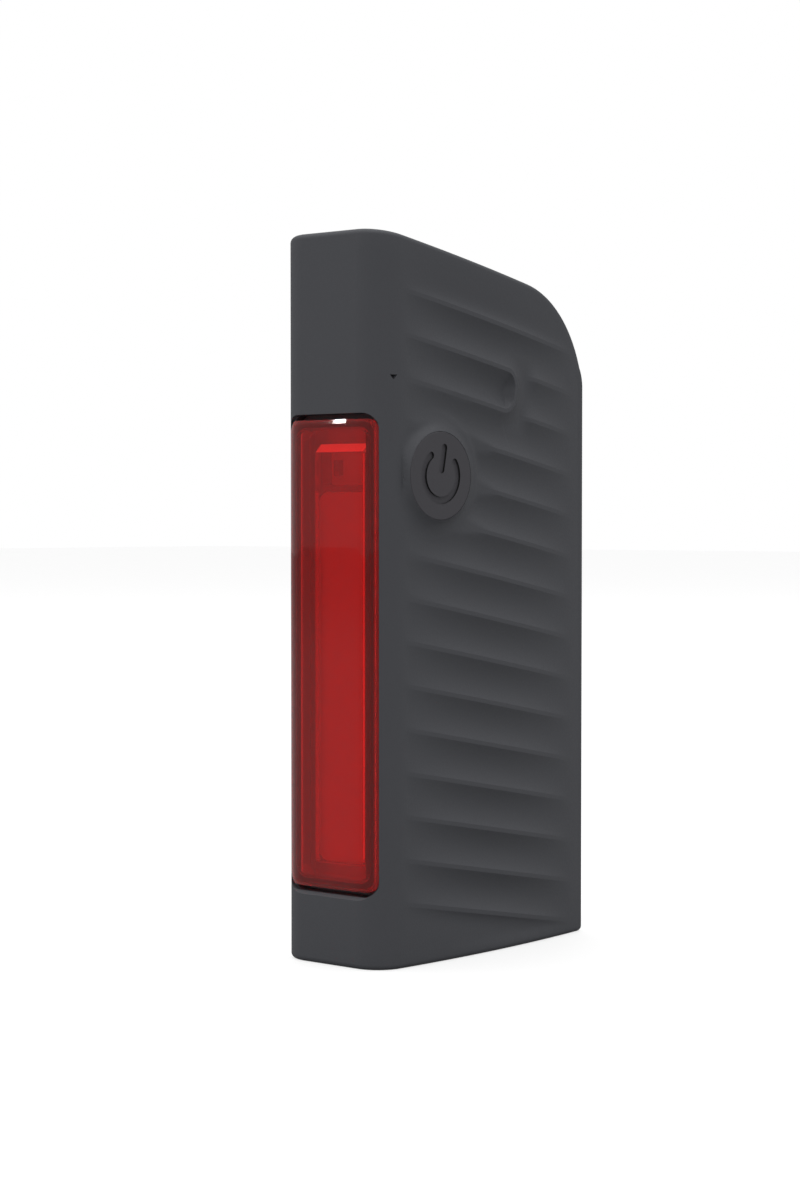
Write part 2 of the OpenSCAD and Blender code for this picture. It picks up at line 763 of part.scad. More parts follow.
module rear_cover() {
    color(body_grey)
        difference() {
            union() {
                plate(oblong(cover_half, [cover_z, cover_top], cover_r - free_gap), cover_d, body_d);
                plate(oblong(box_half, [socket_z - socket_wall, socket_top + socket_wall], socket_wall),
                    socket_d - socket_wall, cover_d + over / 2);
            }
            plate(oblong(socket_half, [socket_z, socket_top], 0), socket_d, body_d - lip_t);
            plate(oblong(socket_half, [socket_z, socket_z + window_h], 0), socket_d, body_d + over);
            plate(oblong(neck_half, [socket_z, socket_top], 0), socket_d, body_d + over);
            at_screws(cover_d - over)
                cylinder(r = screw_r + free_gap, h = cover_t + 2 * over);
            at_screws(head_seat)
                cylinder(r = screw_head_r + free_gap, h = cover_t);
        }
}

module rear_gasket() {
    color(rubber_black)
        difference() {
            plate(oblong(cover_half, [cover_z, cover_top], cover_r - free_gap), rebate_d, cover_d);
            plate(oblong(cover_half - gasket_w, [cover_z + gasket_w, cover_top - gasket_w],
                cover_r - gasket_w), rebate_d - over, cover_d + over);
        }
}

module cover_screws() {
    color(steel)
        at_screws(head_seat)
            difference() {
                union() {
                    cylinder(r = screw_head_r, h = screw_head_t);
                    translate([0, 0, -screw_l])
                        cylinder(r = screw_r, h = screw_l + screw_head_t / 2);
                }
                translate([0, 0, screw_head_t / 2])
                    cylinder(r = screw_r, h = screw_head_t, $fn = 6);
            }
}

module screw_inserts() {
    color(brass)
        at_screws(rebate_d - insert_l)
            difference() {
                cylinder(r = insert_r, h = insert_l);
                translate([0, 0, -over])
                    cylinder(r = screw_r + set_gap, h = insert_l + 2 * over);
            }
}

module lens_cover() {
    ends = [lens_z, lens_top];
    backing = [lens_z + sill_chamfer, lens_top - sill_chamfer];
    color(lens_red)
        difference() {
            union() {
                intersection() {
                    body_form();
                    plate(oblong(lens_half, ends, lens_r), -over, seam_d);
                }
                plate(oblong(seat_half - free_gap, backing, lens_r), seam_d - front_crown, lens_t);
                plate(oblong(collar_half, collar_z, collar_r), seam_d - front_crown, collar_d);
            }
            plate(oblong(collar_half - collar_t, [collar_z[0] + collar_t, collar_z[1] - collar_t],
                collar_r - collar_t), lens_t, collar_d + over);
        }
}

module lens_gasket() {
    outer_z = [lens_z + sill_chamfer, lens_top - sill_chamfer];
    color(rubber_black)
        difference() {
            plate(oblong(seat_half - free_gap, outer_z, lens_r), lens_t, seat_d);
            plate(oblong(collar_half + set_gap, [collar_z[0] - set_gap, collar_z[1] + set_gap], collar_r),
                lens_t - over, seat_d + over);
        }
}

module light_guide() {
    block_end = flange_d + set_gap;
    near = guide_d - over;
    far = guide_d + guide_bevel + over;
    color(clear_plastic)
        union() {
            difference() {
                plate(oblong(guide_half, guide_z, 0), guide_d, block_end);
                side_prism([[near, guide_z[1] - guide_bevel - over], [near, guide_z[1] + over],
                    [far, guide_z[1] + over]], body_w);
            }
            plate(oblong(flange_half, flange_z, collar_r), flange_d, flange_d + flange_t);
        }
}

module diffuser() {
    color(white_plastic)
        plate(oblong(panel_half, panel_z, collar_r), panel_d, panel_d + panel_t);
}

// Places of the lamps, with Z to the rear from a depth
module at_lamps(d) {
    for (i = [0 : lamp_count - 1])
        translate([0, deep(d), panel_z[0] + (i + 0.5) * lamp_step])
            rotate([-90, 0, 0])
                children();
}

module reflector() {
    floor_d = panel_d + panel_t;
    color(white_plastic)
        difference() {
            plate(oblong(tray_half, flange_z, collar_r), panel_d, tray_end);
            plate(oblong(panel_half + set_gap, [panel_z[0] - set_gap, panel_z[1] + set_gap], collar_r),
                panel_d - over, floor_d + set_gap);
            plate(oblong(guide_half, [panel_z[1] + post_w, guide_z[1]], post_w / 2), panel_d - over,
                tray_end + over);
            at_lamps(floor_d)
                translate([-lamp_w / 2 - free_gap, -lamp_h / 2 - free_gap, 0])
                    cube([lamp_w + 2 * free_gap, lamp_h + 2 * free_gap, tray_t + over]);
        }
}

module led_board() {
    color(board_green)
        plate(oblong(tray_half - free_gap, flange_z, collar_r), tray_end, lamp_board_end);
}

module leds() {
    color(clear_plastic)
        at_lamps(tray_end - lamp_t) {
            translate([-lamp_w / 2, -lamp_h / 2, lamp_t / 2])
                cube([lamp_w, lamp_h, lamp_t / 2]);
            cylinder(r = lamp_r, h = lamp_t / 2);
        }
}

module contact_posts() {
    color(brass)
        for (x = [-post_half, post_half])
            block([x - post_w / 2, x + post_w / 2], [deep(tray_end - lamp_t), deep(tray_end)], posts_z);
}

// Holes for the board screws, from a point on the X axis to the left
module at_board_screws(x) {
    for (p = [upper_boss, lower_boss])
        translate([x, p[0], p[1]])
            rotate([0, -90, 0])
                children();
}

module inner_frame() {
    edge = board_x[0];
    left = -frame_half;
    color(rubber_black)
        difference() {
            union() {
                block([-frame_half, frame_half], [deep(lamp_board_end), deep(frame_end)],
                    [end_wall + set_gap, flange_z[1]]);
                for (z = [lower_shelf, upper_shelf])
                    block([left, edge], [shelf_y[0] - frame_t / 2, shelf_y[1]], z);
                for (p = [upper_boss, lower_boss])
                    block([edge - boss_l, edge], [p[0] - boss_w / 2, p[0] + boss_w / 2],
                        [p[1] - boss_w / 2, p[1] + boss_w / 2]);
            }
            at_board_screws(edge + over)
                cylinder(r = board_screw_r, h = board_screw_l + free_gap + over);
            block([edge - ribbon_foot - free_gap, edge + free_gap],
                [deep(lamp_board_end) - over, deep(frame_end) + over],
                [ribbon_z[0] - free_gap, ribbon_z[1] + free_gap]);
            for (i = [0, 1])
                translate([lead_x, lead_y + i * lead_pitch, upper_shelf[0] - over])
                    cylinder(r = lead_r + free_gap, h = shelf_t + 2 * over);
        }
}

module main_board() {
    color(board_green)
        difference() {
            block(board_x, board_y, [board_z, board_z + board_h]);
            at_board_screws(board_x[1] + over)
                cylinder(r = board_screw_r + free_gap, h = board_t + 2 * over);
        }
}

module board_chips() {
    middle = (board_y[0] + board_y[1]) / 2;
    color("#303236") {
        block([board_x[1], board_x[1] + chip_t], [middle - chip_w / 2, middle + chip_w / 2],
            [battery_z[0] + chip_w, battery_z[0] + 2 * chip_w]);
        block([board_x[1], board_x[1] + coil_t], [middle - coil_w / 2, middle + coil_w / 2],
            [usb_z[1], usb_z[1] + coil_w]);
    }
}

module board_screws() {
    color(steel)
        at_board_screws(board_x[1])
            difference() {
                union() {
                    translate([0, 0, -board_head_t])
                        cylinder(r = board_head_r, h = board_head_t);
                    translate([0, 0, -board_head_t / 2])
                        cylinder(r = board_screw_r - set_gap, h = board_t + board_screw_l - free_gap);
                }
                translate([0, 0, -board_head_t - over])
                    cylinder(r = board_screw_r, h = board_head_t / 2 + over, $fn = 6);
            }
}

module led_ribbon() {
    back = deep(lamp_board_end);
    right = board_x[0];
    left = right - ribbon_foot;
    end = battery_y[0] + battery_r;
    color("#c98b3c")
        translate([0, 0, ribbon_z[0]])
            linear_extrude(ribbon_w)
                polygon([[left, back], [right, back], [right, end], [right - ribbon_t, end],
                    [right - ribbon_t, back + ribbon_t], [left, back + ribbon_t]]);
}

// Frame at the switch: its Z points from the board to the button
module at_switch() {
    translate([board_x[1], switch_y, button_z])
        rotate([0, 90, 0])
            children();
}

module switch_body() {
    color(steel)
        at_switch()
            difference() {
                translate([-switch_h / 2, -switch_l / 2, 0])
                    cube([switch_h, switch_l, switch_t]);
                translate([0, 0, switch_t - plunger_in - button_travel - free_gap])
                    cylinder(r = plunger_r + set_gap, h = switch_t);
            }
}

module switch_plunger() {
    color(white_plastic)
        at_switch()
            translate([0, 0, switch_t - plunger_in])
                cylinder(r = plunger_r, h = plunger_in + plunger_out);
}

module power_button() {
    color(body_grey)
        at_button() {
            translate([0, 0, cap_under])
                cylinder(r = button_r, h = cap_t);
            translate([0, 0, flange_under])
                cylinder(r = button_flange_r, h = button_flange_t);
            translate([0, 0, stem_end])
                cylinder(r = stem_r, h = flange_under - stem_end + button_flange_t / 2);
        }
}

module button_seal() {
    color(rubber_black)
        at_button()
            translate([0, 0, seal_z - button_travel])
                rotate_extrude()
                    translate([stem_r + seal_r + set_gap / 2, 0])
                        circle(r = seal_r, $fn = 24);
}

module button_retainer() {
    color(rubber_black)
        at_button()
            difference() {
                union() {
                    translate([0, 0, retainer_under])
                        cylinder(r = bay_r - set_gap, h = retainer_t);
                    translate([0, 0, sleeve_end])
                        cylinder(r = sleeve_bore + sleeve_t, h = sleeve_l + retainer_t / 2);
                }
                translate([0, 0, sleeve_end - over])
                    cylinder(r = sleeve_bore, h = sleeve_l + retainer_t + 2 * over);
            }
}

module battery() {
    color("#8f959b")
        translate([0, 0, battery_z[0]])
            linear_extrude(battery_z[1] - battery_z[0])
                polygon(rounded([[battery_x[0], battery_y[0], battery_r],
                    [battery_x[1], battery_y[0], battery_r], [battery_x[1], battery_y[1], battery_r],
                    [battery_x[0], battery_y[1], battery_r]]));
}

module battery_pad() {
    color("#55585c")
        block([battery_x[1], board_x[0] - set_gap], [battery_y[0] + 2 * battery_r, battery_y[1] - battery_r],
            [battery_z[0] + battery_r, battery_z[1] - battery_r]);
}

module battery_leads() {
    color("#a02020")
        for (i = [0, 1])
            translate([lead_x, lead_y + i * lead_pitch, battery_z[1]])
                cylinder(r = lead_r, h = plug_z[0] - battery_z[1], $fn = 24);
}

module battery_plug() {
    rim = lead_r + plug_rim;
    color(white_plastic)
        block([lead_x - rim, board_x[0]], [lead_y - rim, lead_y + lead_pitch + rim], plug_z);
}

// Rounded outline of the charging socket, set in by a wall
function usb_outline(inset) = oblong(usb_t / 2 - inset, [inset - usb_w / 2, usb_w / 2 - inset],
    usb_t / 2 - inset - sliver);

module usb_socket() {
    color(steel)
        translate([0, 0, usb_z[0]])
            difference() {
                linear_extrude(usb_l)
                    polygon(usb_outline(0));
                translate([0, 0, -over])
                    linear_extrude(usb_l + over - usb_wall)
                        polygon(usb_outline(usb_wall));
            }
}

module usb_tongue() {
    top = usb_z[1] - usb_wall;
    color(rubber_black)
        union() {
            translate([0, 0, top - tongue_root])
                linear_extrude(tongue_root)
                    polygon(usb_outline(usb_wall + set_gap));
            block([-tongue_t / 2, tongue_t / 2], [-tongue_w / 2, tongue_w / 2],
                [top - tongue_root - tongue_l, top - tongue_root / 2]);
        }
}

module port_cover() {
    color(rubber_black)
        union() {
            block([-flap_half, flap_half], [-flap_tip, flap_pivot], [flap_lift, flap_top]);
            translate([-flap_half, flap_pivot, pivot_z])
                rotate([0, 90, 0])
                    cylinder(r = flap_t / 2 - sliver, h = 2 * flap_half);
            translate([-bay_half - pivot_reach, flap_pivot, pivot_z])
                rotate([0, 90, 0])
                    cylinder(r = pivot_r, h = 2 * (bay_half + pivot_reach));
            translate([0, 0, flap_top - flap_t / 2])
                linear_extrude(plug_h + flap_t / 2)
                    polygon(oblong(plug_half[0], [-plug_half[1], plug_half[1]], usb_t / 3));
        }
}

housing();
rear_cover();
rear_gasket();
cover_screws();
screw_inserts();
lens_cover();
lens_gasket();
light_guide();
diffuser();
reflector();
led_board();
leds();
contact_posts();
inner_frame();
main_board();
board_chips();
board_screws();
led_ribbon();
switch_body();
switch_plunger();
power_button();
button_seal();
button_retainer();
battery();
battery_pad();
battery_leads();
battery_plug();
usb_socket();
usb_tongue();
port_cover();
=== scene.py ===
"""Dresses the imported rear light: moulded shell, red lens with its light unit, button, cover and port flap.

Sizes are in millimetres in the row frame: X across, Y to the rear, Z up. Meshes are written in metres.
"""

import json
import math

import bmesh
import bpy
import numpy as np
from mathutils import Matrix, Vector
from mathutils.geometry import delaunay_2d_cdt

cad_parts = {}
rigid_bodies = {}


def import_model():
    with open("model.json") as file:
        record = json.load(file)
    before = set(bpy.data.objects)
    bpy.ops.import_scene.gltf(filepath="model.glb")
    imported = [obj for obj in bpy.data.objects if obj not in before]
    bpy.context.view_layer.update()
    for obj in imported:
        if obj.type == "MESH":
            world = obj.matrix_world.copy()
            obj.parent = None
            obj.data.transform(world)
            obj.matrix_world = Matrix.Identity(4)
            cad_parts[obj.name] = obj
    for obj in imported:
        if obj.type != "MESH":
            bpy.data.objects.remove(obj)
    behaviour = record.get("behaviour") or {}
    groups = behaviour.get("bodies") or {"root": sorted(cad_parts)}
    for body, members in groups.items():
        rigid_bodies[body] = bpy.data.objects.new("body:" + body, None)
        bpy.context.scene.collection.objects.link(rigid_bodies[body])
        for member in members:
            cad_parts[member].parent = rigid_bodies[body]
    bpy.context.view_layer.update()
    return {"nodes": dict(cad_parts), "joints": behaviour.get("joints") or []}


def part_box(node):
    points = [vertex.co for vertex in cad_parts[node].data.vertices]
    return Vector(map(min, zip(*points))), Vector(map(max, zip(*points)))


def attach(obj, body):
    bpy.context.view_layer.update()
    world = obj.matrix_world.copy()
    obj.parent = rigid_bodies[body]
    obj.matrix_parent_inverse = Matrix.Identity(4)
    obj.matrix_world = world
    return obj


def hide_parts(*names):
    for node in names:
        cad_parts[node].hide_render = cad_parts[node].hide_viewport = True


for stray in list(bpy.data.objects):
    bpy.data.objects.remove(stray)
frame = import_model()

MM = 0.001

# Body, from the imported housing's box and the sizes its walls were drawn with
body_low, body_high = (np.array(corner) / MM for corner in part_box("housing"))
DEPTH = body_high[1] - body_low[1]
HALF_WIDTH = -body_low[0]
END_HALF = 7.5
FRONT_FLAT = 0.02
FRONT_HEIGHT = 82.19
SLOPE = math.radians(10.2)
CORNER_RADIUS = 3.9
REAR_CORNER = 1.2
REAR_TOP_RADIUS = 15.0
FOOT_RADIUS = 1.2
EDGE_RADIUS = 0.6
SIDE_WALL = 1.8
END_WALL = 2.2
FRONT_WALL = 3.4
REAR_WALL = 6.0
BULGE = HALF_WIDTH - END_HALF
BOW_RADIUS = (DEPTH ** 2 / 4 + BULGE ** 2) / (2 * BULGE)
BOW_CENTRE = HALF_WIDTH - BOW_RADIUS
# Depth and height of the rear top curve's centre, and the depth where the sloping top runs into it
CURVE_DEPTH = DEPTH - REAR_TOP_RADIUS
CURVE_HEIGHT = FRONT_HEIGHT - CURVE_DEPTH * math.tan(SLOPE) - REAR_TOP_RADIUS / math.cos(SLOPE)
CURVE_START = CURVE_DEPTH + REAR_TOP_RADIUS * math.sin(SLOPE)

# Ribs, measured square to their slope
RIB_COUNT = 15
RIB_STEP = 4.87 * math.cos(SLOPE)
RIB_WIDTH = 0.48
RIB_DEPTH = 0.74
RIB_FIRST = 82.2 - 5.85
RIB_SOFT = 0.05
RIB_SPAN = (-16, 56)
FADE_LENGTH = 1.1
FADE_DEPTH = 0.4
RIM_FADE = 1.2
MOUND_FADE = 0.28
HALF_CHANNEL = (RIB_STEP - RIB_WIDTH) / 2
FLOOR_X = HALF_WIDTH - RIB_DEPTH

# Pocket between the second and third ribs of the button side
POCKET_END = 24.6
POCKET_RADIUS = 1.7
POCKET_EXTRA = 0.3
POCKET_WALL = 1.2
POCKET_FADE = 0.3
VALLEY = 1.6
RIB_RISE = 2.4

# Button and the cove round it
BUTTON_DEPTH = 8.9
BUTTON_HEIGHT = 54.9
BUTTON_RADIUS = 4.95
HOLE_RADIUS = 4.98
BUTTON_LIFT = 0.75
COVE_LIFT = 0.72
COVE_RIM = 5.02
COVE_RUN = 2.2
COVE_SOFT = 0.3
COVE_FOOT = -0.45
COVE_SKIRT = 0.6
COVE_REACH = COVE_RIM + COVE_RUN
BOWL_X = FLOOR_X - 0.05
BOWL_RADIUS = 78.0
BOWL_REACH = 14.0
SEAT_RADIUS = 5.58
SEAT_FLOOR = -2.75
SEAT_LID = 0.95
BUTTON_EDGE = 0.1
CAP = 1.0
BUTTON_FLANGE = 5.5
FLANGE_THICK = 0.5
STEM_RADIUS = 1.5
SYMBOL_OUTER = 3.17
SYMBOL_INNER = 2.33
SYMBOL_GAP = 45.0
SYMBOL_BAR = 3.65
SYMBOL_BAR_START = 0.3
SYMBOL_TURN = 10.5
SYMBOL_SUNK = 0.24

# How far cutters reach past what they cut, and the meshes' own steps, gaps and welding distance
OVER = 1.0
MESH_STEP = 0.45
MESH_SHIFT = 0.22
FINE_STEP = 0.17
POINT_GAP = 0.3
EDGE_GAP = 0.06
NEAR_EDGE = 0.004
SIDE_BAND = 1.6
ROUND_STEPS = 10
SKIN_WELD = 0.002
BIG_FACE = 4 * MM ** 2
BIG_FACE_TURN = 0.01
SOFT_ANGLE = 35.0

# Lens and the opening it sits in
lens_low, lens_high = (np.array(corner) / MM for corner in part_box("lens_cover"))
LENS_BOTTOM, LENS_TOP = lens_low[2], lens_high[2]
LENS_CORNER = 1.2
LENS_CHAMFER = 0.45
CHAMFER_SLOPE = math.tan(math.radians(25))
GAP_OVER = 0.65
GAP_UNDER = 0.6
SILL = 0.35
SEAM_DEPTH = 1.05
LENS_BACK = SEAM_DEPTH - 0.03
LENS_THICK = 1.2
ROOM_BEND = CORNER_RADIUS - LENS_THICK + FRONT_FLAT
ROOM_SIDE = 9.0
PRINT_FROM = 4.72
SEAT_HALF = 6.0
SEAT_DEPTH = 2.2
COLLAR_HALF = 5.3
COLLAR_WALL = 0.3
COLLAR_DEPTH = 3.0
COLLAR_MARGIN = 0.9
COLLAR_RADIUS = 1.4
FREE = 0.1
VENT_DEPTH = 2.0
VENT_Z = 66.0
VENT_LONG = 0.85
VENT_HIGH = 0.6
VENT_SUNK = 0.6

# Rear cover, its screws and the charging port
cover_low, cover_high = (np.array(corner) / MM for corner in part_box("rear_cover"))
COVER_HALF = cover_high[0]
COVER_BOTTOM, COVER_TOP = cover_low[2], cover_high[2]
COVER_RADIUS = 2.0
REBATE_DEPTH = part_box("rear_gasket")[0].y / MM + DEPTH / 2
REAR_HALF = 4.2
SCREW_INSET = 3.1
SCREW_HALF = 2.5
INSERT_RADIUS = 1.35
INSERT_LONG = 3.1
SCREW_RADIUS = 0.7
SCREW_LONG = 3.8
SCREW_HEAD = 1.35
SCREW_HEAD_HIGH = 0.8
SCREW_DOME = 0.25
screw_places = [(x, z) for x in (-SCREW_HALF, SCREW_HALF)
                for z in (COVER_BOTTOM + SCREW_INSET, COVER_TOP - SCREW_INSET)]
flap_joint = next(joint for joint in frame["joints"] if joint["name"] == "flap_hinge")
flap_pivot = [c / MM for c in flap_joint["pos_m"][1:]]
BAY_HALF = 3.7
BAY_ENDS = (-6.5, 9.88)
BAY_TOP = 1.3
PORT_HALF = (1.83, 4.67)
PORT_RADIUS = 1.087
PIVOT_BORE = 0.6
PIVOT_REACH = 4.5
NOTCH_RADIUS = 2.2


def deep(depth):
    """Y of a depth behind the crown of the front face."""
    return depth - DEPTH / 2


def bow(y, inset=0.0):
    """X of the bowed side at a Y, set in by a wall."""
    return np.sqrt((BOW_RADIUS - inset) ** 2 - np.asarray(y) ** 2) - BOW_RADIUS + HALF_WIDTH


def ease(low, high, value):
    """0 below low and 1 above high, with a smooth rise between."""
    share = np.clip((np.asarray(value, float) - low) / (high - low), 0, 1)
    return share * share * (3 - 2 * share)


def corner_centre(depth, radius):
    """X and Y of the centre of an upright corner's arc that runs into the bowed side."""
    return np.array((BOW_CENTRE + math.sqrt((BOW_RADIUS - radius) ** 2 - deep(depth) ** 2), deep(depth)))


front_corner = corner_centre(FRONT_FLAT + CORNER_RADIUS, CORNER_RADIUS)


def corner_x(depth):
    """X of the front corner's arc at a depth."""
    return float(front_corner[0] + math.sqrt(CORNER_RADIUS ** 2 - (deep(depth) - front_corner[1]) ** 2))


LENS_HALF = corner_x(LENS_BACK)

# Places in which flat outlines are drawn: columns are the outline's two axes, its depth and its origin
FRONT = Matrix(((1, 0, 0, 0), (0, 0, 1, deep(0)), (0, 1, 0, 0), (0, 0, 0, 1)))
SIDE = Matrix(((0, 0, 1, 0), (1, 0, 0, deep(0)), (0, 1, 0, 0), (0, 0, 0, 1)))
PLAN = Matrix.Identity(4)
# Outlines that sink as they come forward, for the slanted sill
SILL_SWEEP = Matrix(((1, 0, 0, 0), (0, 0, 1, deep(0)), (0, 1, 1, -FRONT_FLAT - SILL), (0, 0, 0, 1)))
TILT = math.asin((DEPTH / 2 - BUTTON_DEPTH) / BOW_RADIUS)
BUTTON_X = float(bow(deep(BUTTON_DEPTH)))
BUTTON = (Matrix.Translation((BUTTON_X, deep(BUTTON_DEPTH), BUTTON_HEIGHT)) @ Matrix.Rotation(-TILT, 4, "Z")
          @ Matrix(((0, 0, 1, 0), (1, 0, 0, 0), (0, 1, 0, 0), (0, 0, 0, 1))))


# Meshes
def new_piece(name, points, faces):
    """Object at the origin from points in millimetres."""
    mesh = bpy.data.meshes.new(name)
    mesh.from_pydata([tuple(p * MM for p in point) for point in points], [], faces)
    mesh.validate()
    piece = bpy.data.objects.new(name, mesh)
    bpy.context.scene.collection.objects.link(piece)
    return piece


def discard(piece):
    """Removes a helper object with its mesh."""
    mesh = piece.data
    bpy.data.objects.remove(piece)
    bpy.data.meshes.remove(mesh)


def weld(piece, distance=0.0005):
    """Joins doubled points and turns the faces outwards."""
    work = bmesh.new()
    work.from_mesh(piece.data)
    bmesh.ops.remove_doubles(work, verts=work.verts, dist=distance * MM)
    bmesh.ops.recalc_face_normals(work, faces=work.faces)
    work.to_mesh(piece.data)
    work.free()
    return piece


def settle(piece):
    """Turns what the modifiers give into the piece's plain mesh."""
    graph = bpy.context.evaluated_depsgraph_get()
    made = bpy.data.meshes.new_from_object(piece.evaluated_get(graph))
    old = piece.data
    piece.modifiers.clear()
    piece.data = made
    made.name = piece.name
    bpy.data.meshes.remove(old)
    return piece


def combine(piece, other, operation):
    """Adds, cuts or keeps the other solid, which is used up."""
    step = piece.modifiers.new("combine", "BOOLEAN")
    step.solver = "EXACT"
    step.operation = operation
    step.object = other
    settle(piece)
    discard(other)
    return piece


def rounded(corners, step=0.12):
    """Points round a clockwise outline of corners (u, v, radius)."""
    points, turns = [], []
    count = len(corners)
    place = [np.array(c[:2], float) for c in corners]
    for i, (_, _, radius) in enumerate(corners):
        back = place[i - 1] - place[i]
        ahead = place[(i + 1) % count] - place[i]
        back, ahead = back / np.linalg.norm(back), ahead / np.linalg.norm(ahead)
        half = math.acos(np.clip(back @ ahead, -1, 1)) / 2
        reach = radius / math.tan(half)
        middle = back + ahead
        centre = place[i] + middle / np.linalg.norm(middle) * radius / math.sin(half)
        turns.append((centre, radius, place[i] + back * reach, place[i] + ahead * reach, math.pi - 2 * half))
    for i, (centre, radius, first, last, sweep) in enumerate(turns):
        start = math.atan2(*(first - centre)[::-1]) if radius else 0
        arcs = max(6, math.ceil(radius * sweep / step)) if radius else 0
        for k in range(arcs + 1):
            angle = start - sweep * k / arcs if radius else 0
            way = np.array([math.cos(angle), math.sin(angle)])
            points.append(centre + radius * way if radius else first)
        run = turns[(i + 1) % count][2] - last
        pieces = math.ceil(np.linalg.norm(run) / (4 * step))
        points += [last + run * k / pieces for k in range(1, pieces)]
    return np.array(points)


def oblong(half, low, high, radius):
    """Outline of an upright oblong with rounded corners."""
    return rounded([(-half, low, radius), (-half, high, radius), (half, high, radius), (half, low, radius)], 0.25)


def circle(radius, count=96, centre=(0, 0)):
    """Outline of a circle."""
    turn = np.linspace(0, 2 * math.pi, count, endpoint=False)
    return np.stack((centre[0] + radius * np.cos(turn), centre[1] + radius * np.sin(turn)), 1)


def prism(name, outline, place, start, end):
    """Closed solid with an outline, from one level to another of its place."""
    count = len(outline)
    points = [place @ Vector((u, v, w)) for w in (start, end) for u, v in outline]
    faces = [tuple(range(count)), tuple(range(2 * count - 1, count - 1, -1))]
    faces += [(i, (i + 1) % count, count + (i + 1) % count, count + i) for i in range(count)]
    return weld(new_piece(name, points, faces))


def shade(piece, angle=30.0, crisp=None):
    """Smooth shading, sharp past an angle, round big flat faces and where crisp says so."""
    work = bmesh.new()
    work.from_mesh(piece.data)
    limit = math.radians(angle)
    edges = list(work.edges)
    ends = np.array([[tuple(v.co) for v in edge.verts] for edge in edges]) / MM
    kept = crisp(ends) if crisp else np.zeros(len(edges), bool)
    for edge, hard in zip(edges, kept):
        turn = edge.calc_face_angle(math.pi)
        flat = max((face.calc_area() for face in edge.link_faces), default=0) > BIG_FACE
        edge.smooth = not hard and turn < (BIG_FACE_TURN if flat else limit)
    for face in work.faces:
        face.smooth = True
    work.to_mesh(piece.data)
    work.free()
    return piece


def inside(points, loop):
    """Which points lie inside a closed loop."""
    x, y = points[:, :1], points[:, 1:]
    ax, ay = loop[:, 0], loop[:, 1]
    bx, by = np.roll(ax, -1), np.roll(ay, -1)
    rise = np.where(by == ay, 1e-12, by - ay)
    crossing = ((ay > y) != (by > y)) & (x < ax + (y - ay) / rise * (bx - ax))
    return crossing.sum(1) % 2 == 1


def gap_to(points, loop):
    """Distance from each point to the nearest point of a loop."""
    parts = [points[start:start + 2000] for start in range(0, len(points), 2000)]
    return np.concatenate([np.sqrt(((part[:, None] - loop[None]) ** 2).sum(2).min(1)) for part in parts])


def triangulate(loop, lines, points):
    """Triangles inside a loop, with open or closed lines kept as edges and points between them."""
    corners = [tuple(p) for p in loop]
    edges = [(i, (i + 1) % len(loop)) for i in range(len(loop))]
    for line in lines:
        start = len(corners)
        corners += [tuple(p) for p in line]
        edges += [(i, i + 1) for i in range(start, start + len(line) - 1)]
    corners += [tuple(p) for p in points]
    made = delaunay_2d_cdt([Vector(c) for c in corners], edges, [], 1, 1e-7)
    return np.array([tuple(v) for v in made[0]]), [tuple(f) for f in made[2]]


# Nodes of materials and of geometry trees
def linear(colour):
    """Linear RGBA of an sRGB hex colour."""
    parts = [int(colour[i:i + 2], 16) / 255 for i in (1, 3, 5)]
    return [c / 12.92 if c <= 0.04045 else ((c + 0.055) / 1.055) ** 2.4 for c in parts] + [1.0]


def add(tree, kind, settings=None, **links):
    """Adds a node; each link names an input, by name or as _number, and gives a value or a socket."""
    made = tree.nodes.new(kind)
    for key, value in (settings or {}).items():
        setattr(made, key, value)
    for key, value in links.items():
        spot = made.inputs[int(key[1:])] if key[0] == "_" else made.inputs[key.replace("_", " ")]
        if isinstance(value, bpy.types.NodeSocket):
            tree.links.new(value, spot)
        elif isinstance(value, bpy.types.Node):
            tree.links.new(value.outputs[0], spot)
        else:
            spot.default_value = value
    return made


def geometry_tree(name, inputs):
    """Empty geometry tree with named inputs; gives the tree, its input node and its output node."""
    tree = bpy.data.node_groups.new(name, "GeometryNodeTree")
    tree.interface.new_socket("Geometry", in_out="INPUT", socket_type="NodeSocketGeometry")
    tree.interface.new_socket("Geometry", in_out="OUTPUT", socket_type="NodeSocketGeometry")
    for title, kind in inputs:
        tree.interface.new_socket(title, in_out="INPUT", socket_type=kind)
    return tree, tree.nodes.new("NodeGroupInput"), tree.nodes.new("NodeGroupOutput")


def run_tree(piece, tree, values):
    """Runs a geometry tree on a piece with its inputs set by identifier, and keeps the plain mesh."""
    step = piece.modifiers.new(tree.name, "NODES")
    step.node_group = tree
    for item in tree.interface.items_tree:
        if item.in_out == "INPUT" and item.name in values:
            step[item.identifier] = values[item.name]
    return settle(piece)


